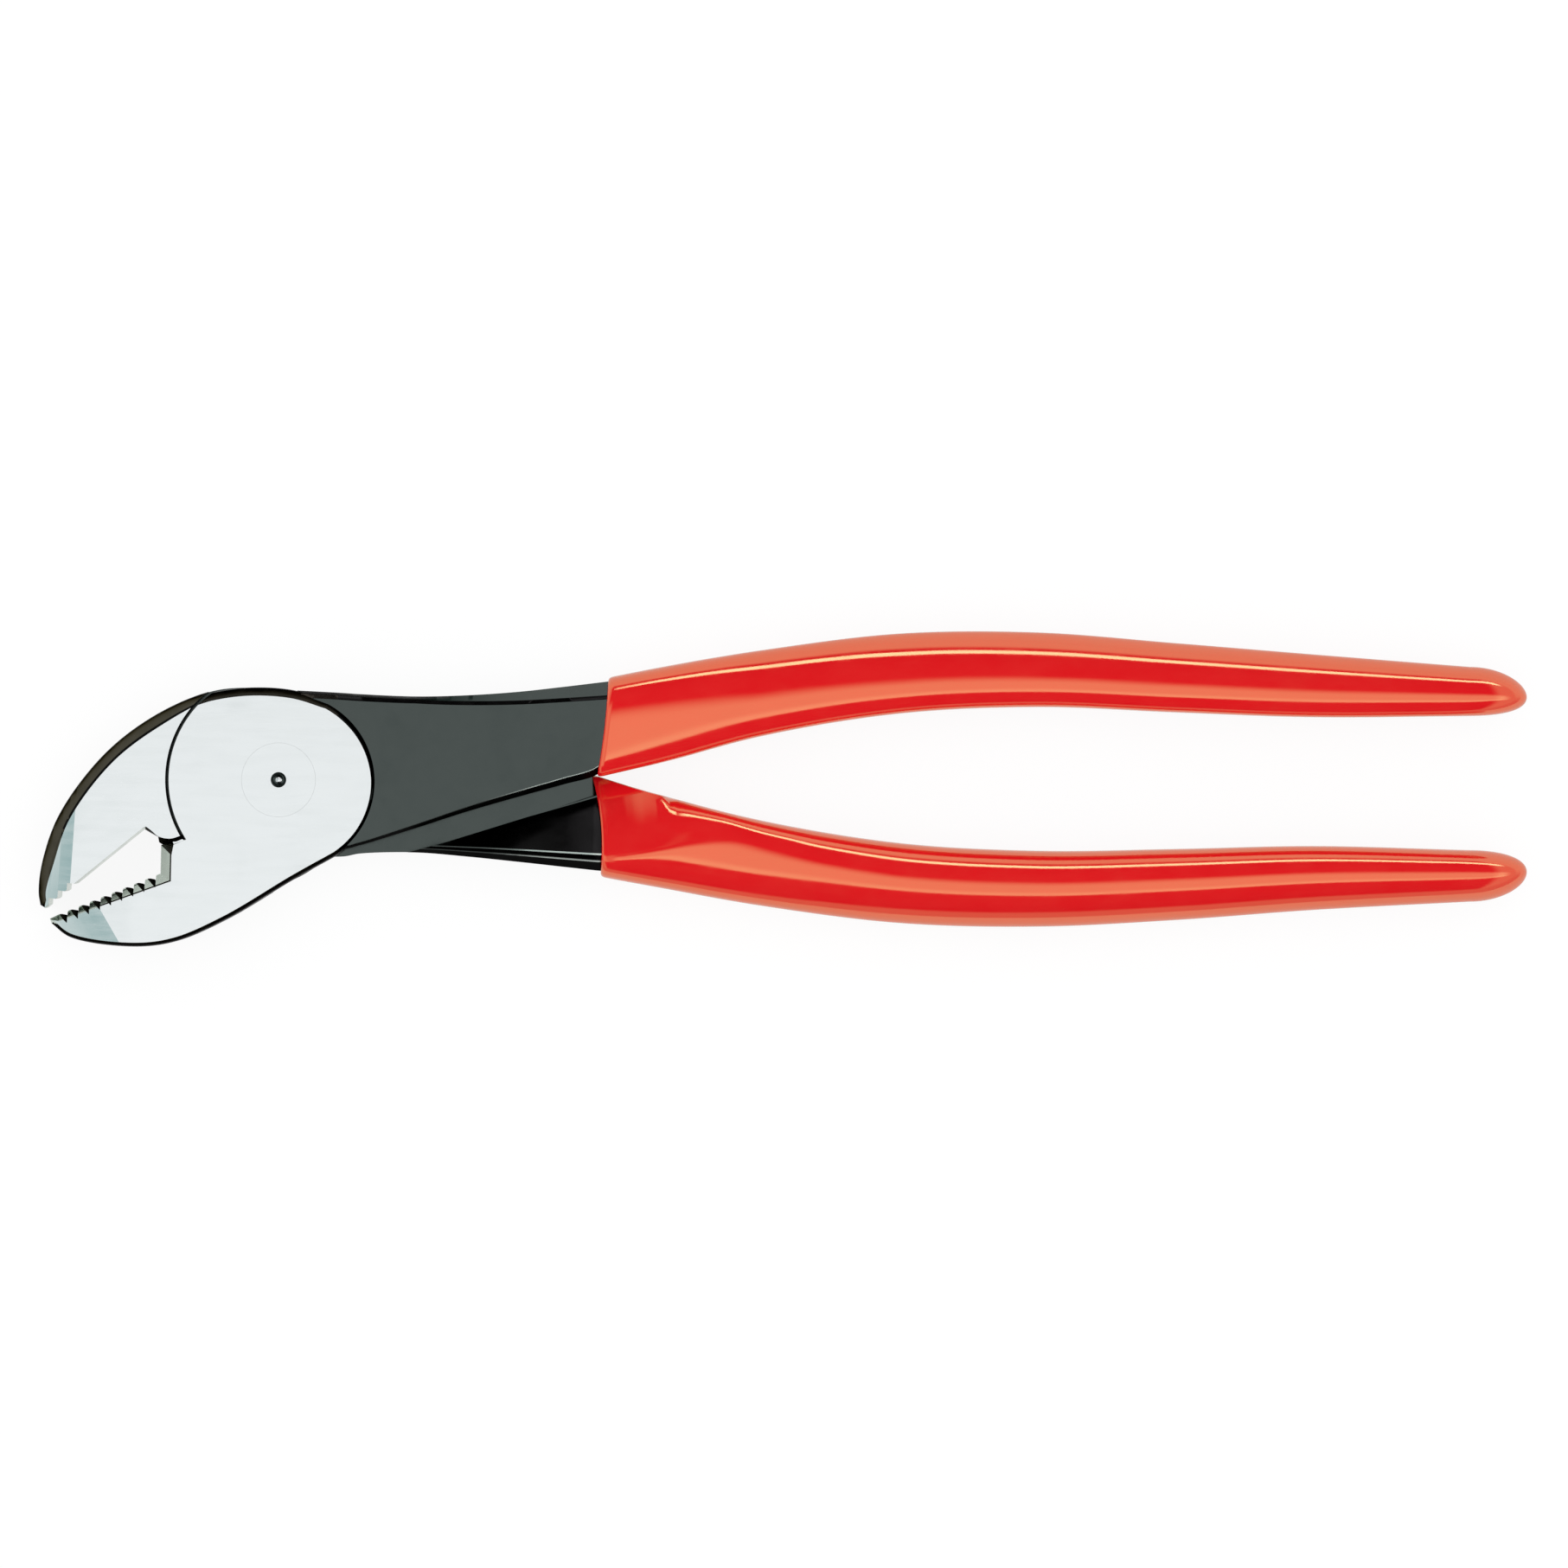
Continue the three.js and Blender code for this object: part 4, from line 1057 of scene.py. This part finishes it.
# %% [markdown]
# ## Floor and room
# Mirrors show the room, so the room is part of the look. Straight above, and a
# little towards the viewer's side, hangs a wide soft box. Coloured cards beyond
# its left end tint the ground tips. A narrow strip on the far side draws the thin
# line along the grips, the ends of the room are grey, and the white floor and
# horizon brighten the steep edges. Between them the room is dark, which keeps the
# red deep. Plain even light falls on all that isn't a mirror. Area lamps could do
# the same, but a room drawn by direction has clean borders and little noise.

# %% Floor
FLOOR_HALF, FLOOR_LEVEL, PAPER_GLOW = 3000, -0.05, 0.9
corners = [(x * FLOOR_HALF, y * FLOOR_HALF, FLOOR_LEVEL) for x, y in ((-1, -1), (1, -1), (1, 1), (-1, 1))]
floor = add_mesh("floor", corners, [(0, 1, 2, 3)])
paper = bpy.data.materials.new("white_paper")
paper.use_nodes = True
tree = paper.node_tree
tree.nodes.clear()
path = add_node(tree, "ShaderNodeLightPath").outputs
mirrored = calc(tree, "ADD", path["Is Glossy Ray"], path["Is Transmission Ray"])
seen = calc(tree, "MINIMUM", calc(tree, "ADD", path["Is Camera Ray"], mirrored), 1.0)
matte = add_node(tree, "ShaderNodeBsdfDiffuse", {"Color": (0.12, 0.12, 0.12, 1)})
glow = add_node(tree, "ShaderNodeEmission", {"Strength": calc(tree, "MULTIPLY", seen, PAPER_GLOW)})
both = add_node(tree, "ShaderNodeAddShader", {0: matte.outputs[0], 1: glow.outputs[0]})
add_node(tree, "ShaderNodeOutputMaterial", {"Surface": both.outputs[0]})
floor.data.materials.append(paper)
print("floor:", len(tree.nodes), "nodes")

# %% Directions in the room
room = bpy.data.worlds.new("studio")
bpy.context.scene.world = room
room.use_nodes = True
room.cycles.sampling_method = "NONE"
tree = room.node_tree
tree.nodes.clear()
look = parts_of(tree, add_node(tree, "ShaderNodeTexCoord").outputs["Generated"])
tilt_x = calc(tree, "DEGREES", calc(tree, "ARCTAN2", look["X"], look["Z"]))
tilt_y = calc(tree, "DEGREES", calc(tree, "ARCTAN2", look["Y"], look["Z"]))


def band(value, start, end, feather_start, feather_end):
    """1 between start and end, with soft borders."""
    rise = ramp(tree, value, start - feather_start, start + feather_start)
    fall = ramp(tree, value, end - feather_end, end + feather_end, 1.0, 0.0)
    return calc(tree, "MULTIPLY", rise, fall)


def card(across, along):
    """Part of the room between two tilts each way, each with the width of its soft borders."""
    return calc(tree, "MULTIPLY", band(tilt_y, *across), band(tilt_x, *along))


print("directions:", len(tree.nodes), "nodes")


# %% Lights of the room
def lamp(mask, colour, below):
    """Adds a patch of one colour to the room."""
    patch = add_node(tree, "ShaderNodeVectorMath", {0: colour, "Scale": mask}, operation="SCALE")
    return add_node(tree, "ShaderNodeVectorMath", {0: below, 1: patch.outputs[0]}, operation="ADD").outputs[0]


HORIZON_LOW, HORIZON_HIGH = 0.26, 0.4
UNLIT, EVEN_LIGHT, WHITE = (0.02, 0.02, 0.02), (0.96, 0.96, 0.96, 1), (1, 1, 1, 1)
soft_box = card((-19, 6, 1.2, 7), (-8, 50, 1.5, 10))
box_edge = card((-19, -13, 1.2, 3), (-8, 50, 1.5, 10))
teal_card = card((-30, 20, 5, 8), (-40, -8, 8, 1.5))
pale_card = card((-30, 20, 5, 8), (-40, -12.4, 8, 3.5))
strip = card((55, 63, 0.8, 0.8), (-17, 52, 3, 6))
far_brighter = ramp(tree, look["Y"], -0.5, 0.3, 0.45, 1.0)
horizon = calc(tree, "MULTIPLY", ramp(tree, look["Z"], HORIZON_LOW, HORIZON_HIGH, 1.0, 0.0), far_brighter)
above = ramp(tree, look["Z"], HORIZON_LOW, HORIZON_HIGH)
ends = calc(tree, "MULTIPLY", ramp(tree, calc(tree, "ABSOLUTE", tilt_x), 26, 42), above)
light = UNLIT
for mask, colour in (
    (soft_box, (1.04, 1.05, 1.05)), (box_edge, (0.5, 0.5, 0.48)), (teal_card, (0.25, 0.42, 0.42)),
    (pale_card, (0.45, 0.36, 0.35)), (strip, (4.6, 4.4, 4.6)), (horizon, (0.95, 0.95, 0.95)), (ends, (0.6, 0.6, 0.6)),
):
    light = lamp(mask, colour, light)
path = add_node(tree, "ShaderNodeLightPath").outputs
mirrored = calc(tree, "MAXIMUM", path["Is Glossy Ray"], path["Is Transmission Ray"])
lit = blend(tree, mirrored, EVEN_LIGHT, light)
shown = blend(tree, path["Is Camera Ray"], lit, WHITE)
back = add_node(tree, "ShaderNodeBackground", {"Color": shown})
add_node(tree, "ShaderNodeOutputWorld", {"Surface": back.outputs[0]})
print("room:", len(tree.nodes), "nodes")

# %% [markdown]
# ## Camera
# The photo looks straight down on the tool from far away with a long lens, so
# nothing leans. The frame is 263 mm wide at the tool, a little to the right of
# the pivot.

# %% Place the camera
CAMERA_X, CAMERA_Y, CAMERA_HEIGHT, FRAME_WIDTH = 84.7, -0.7, 1800, 263.0
SENSOR_WIDTH, TOOL_LEVEL = 36, 10
lens = bpy.data.cameras.new("camera")
lens.sensor_width = SENSOR_WIDTH
lens.lens = SENSOR_WIDTH * (CAMERA_HEIGHT - TOOL_LEVEL) / FRAME_WIDTH
lens.clip_end = 20
camera = add_object("camera", lens)
camera.location = (CAMERA_X * MM, CAMERA_Y * MM, CAMERA_HEIGHT * MM)
bpy.context.scene.camera = camera
bpy.context.scene.view_settings.view_transform = "Standard"
print("lens:", round(lens.lens, 1), "mm")
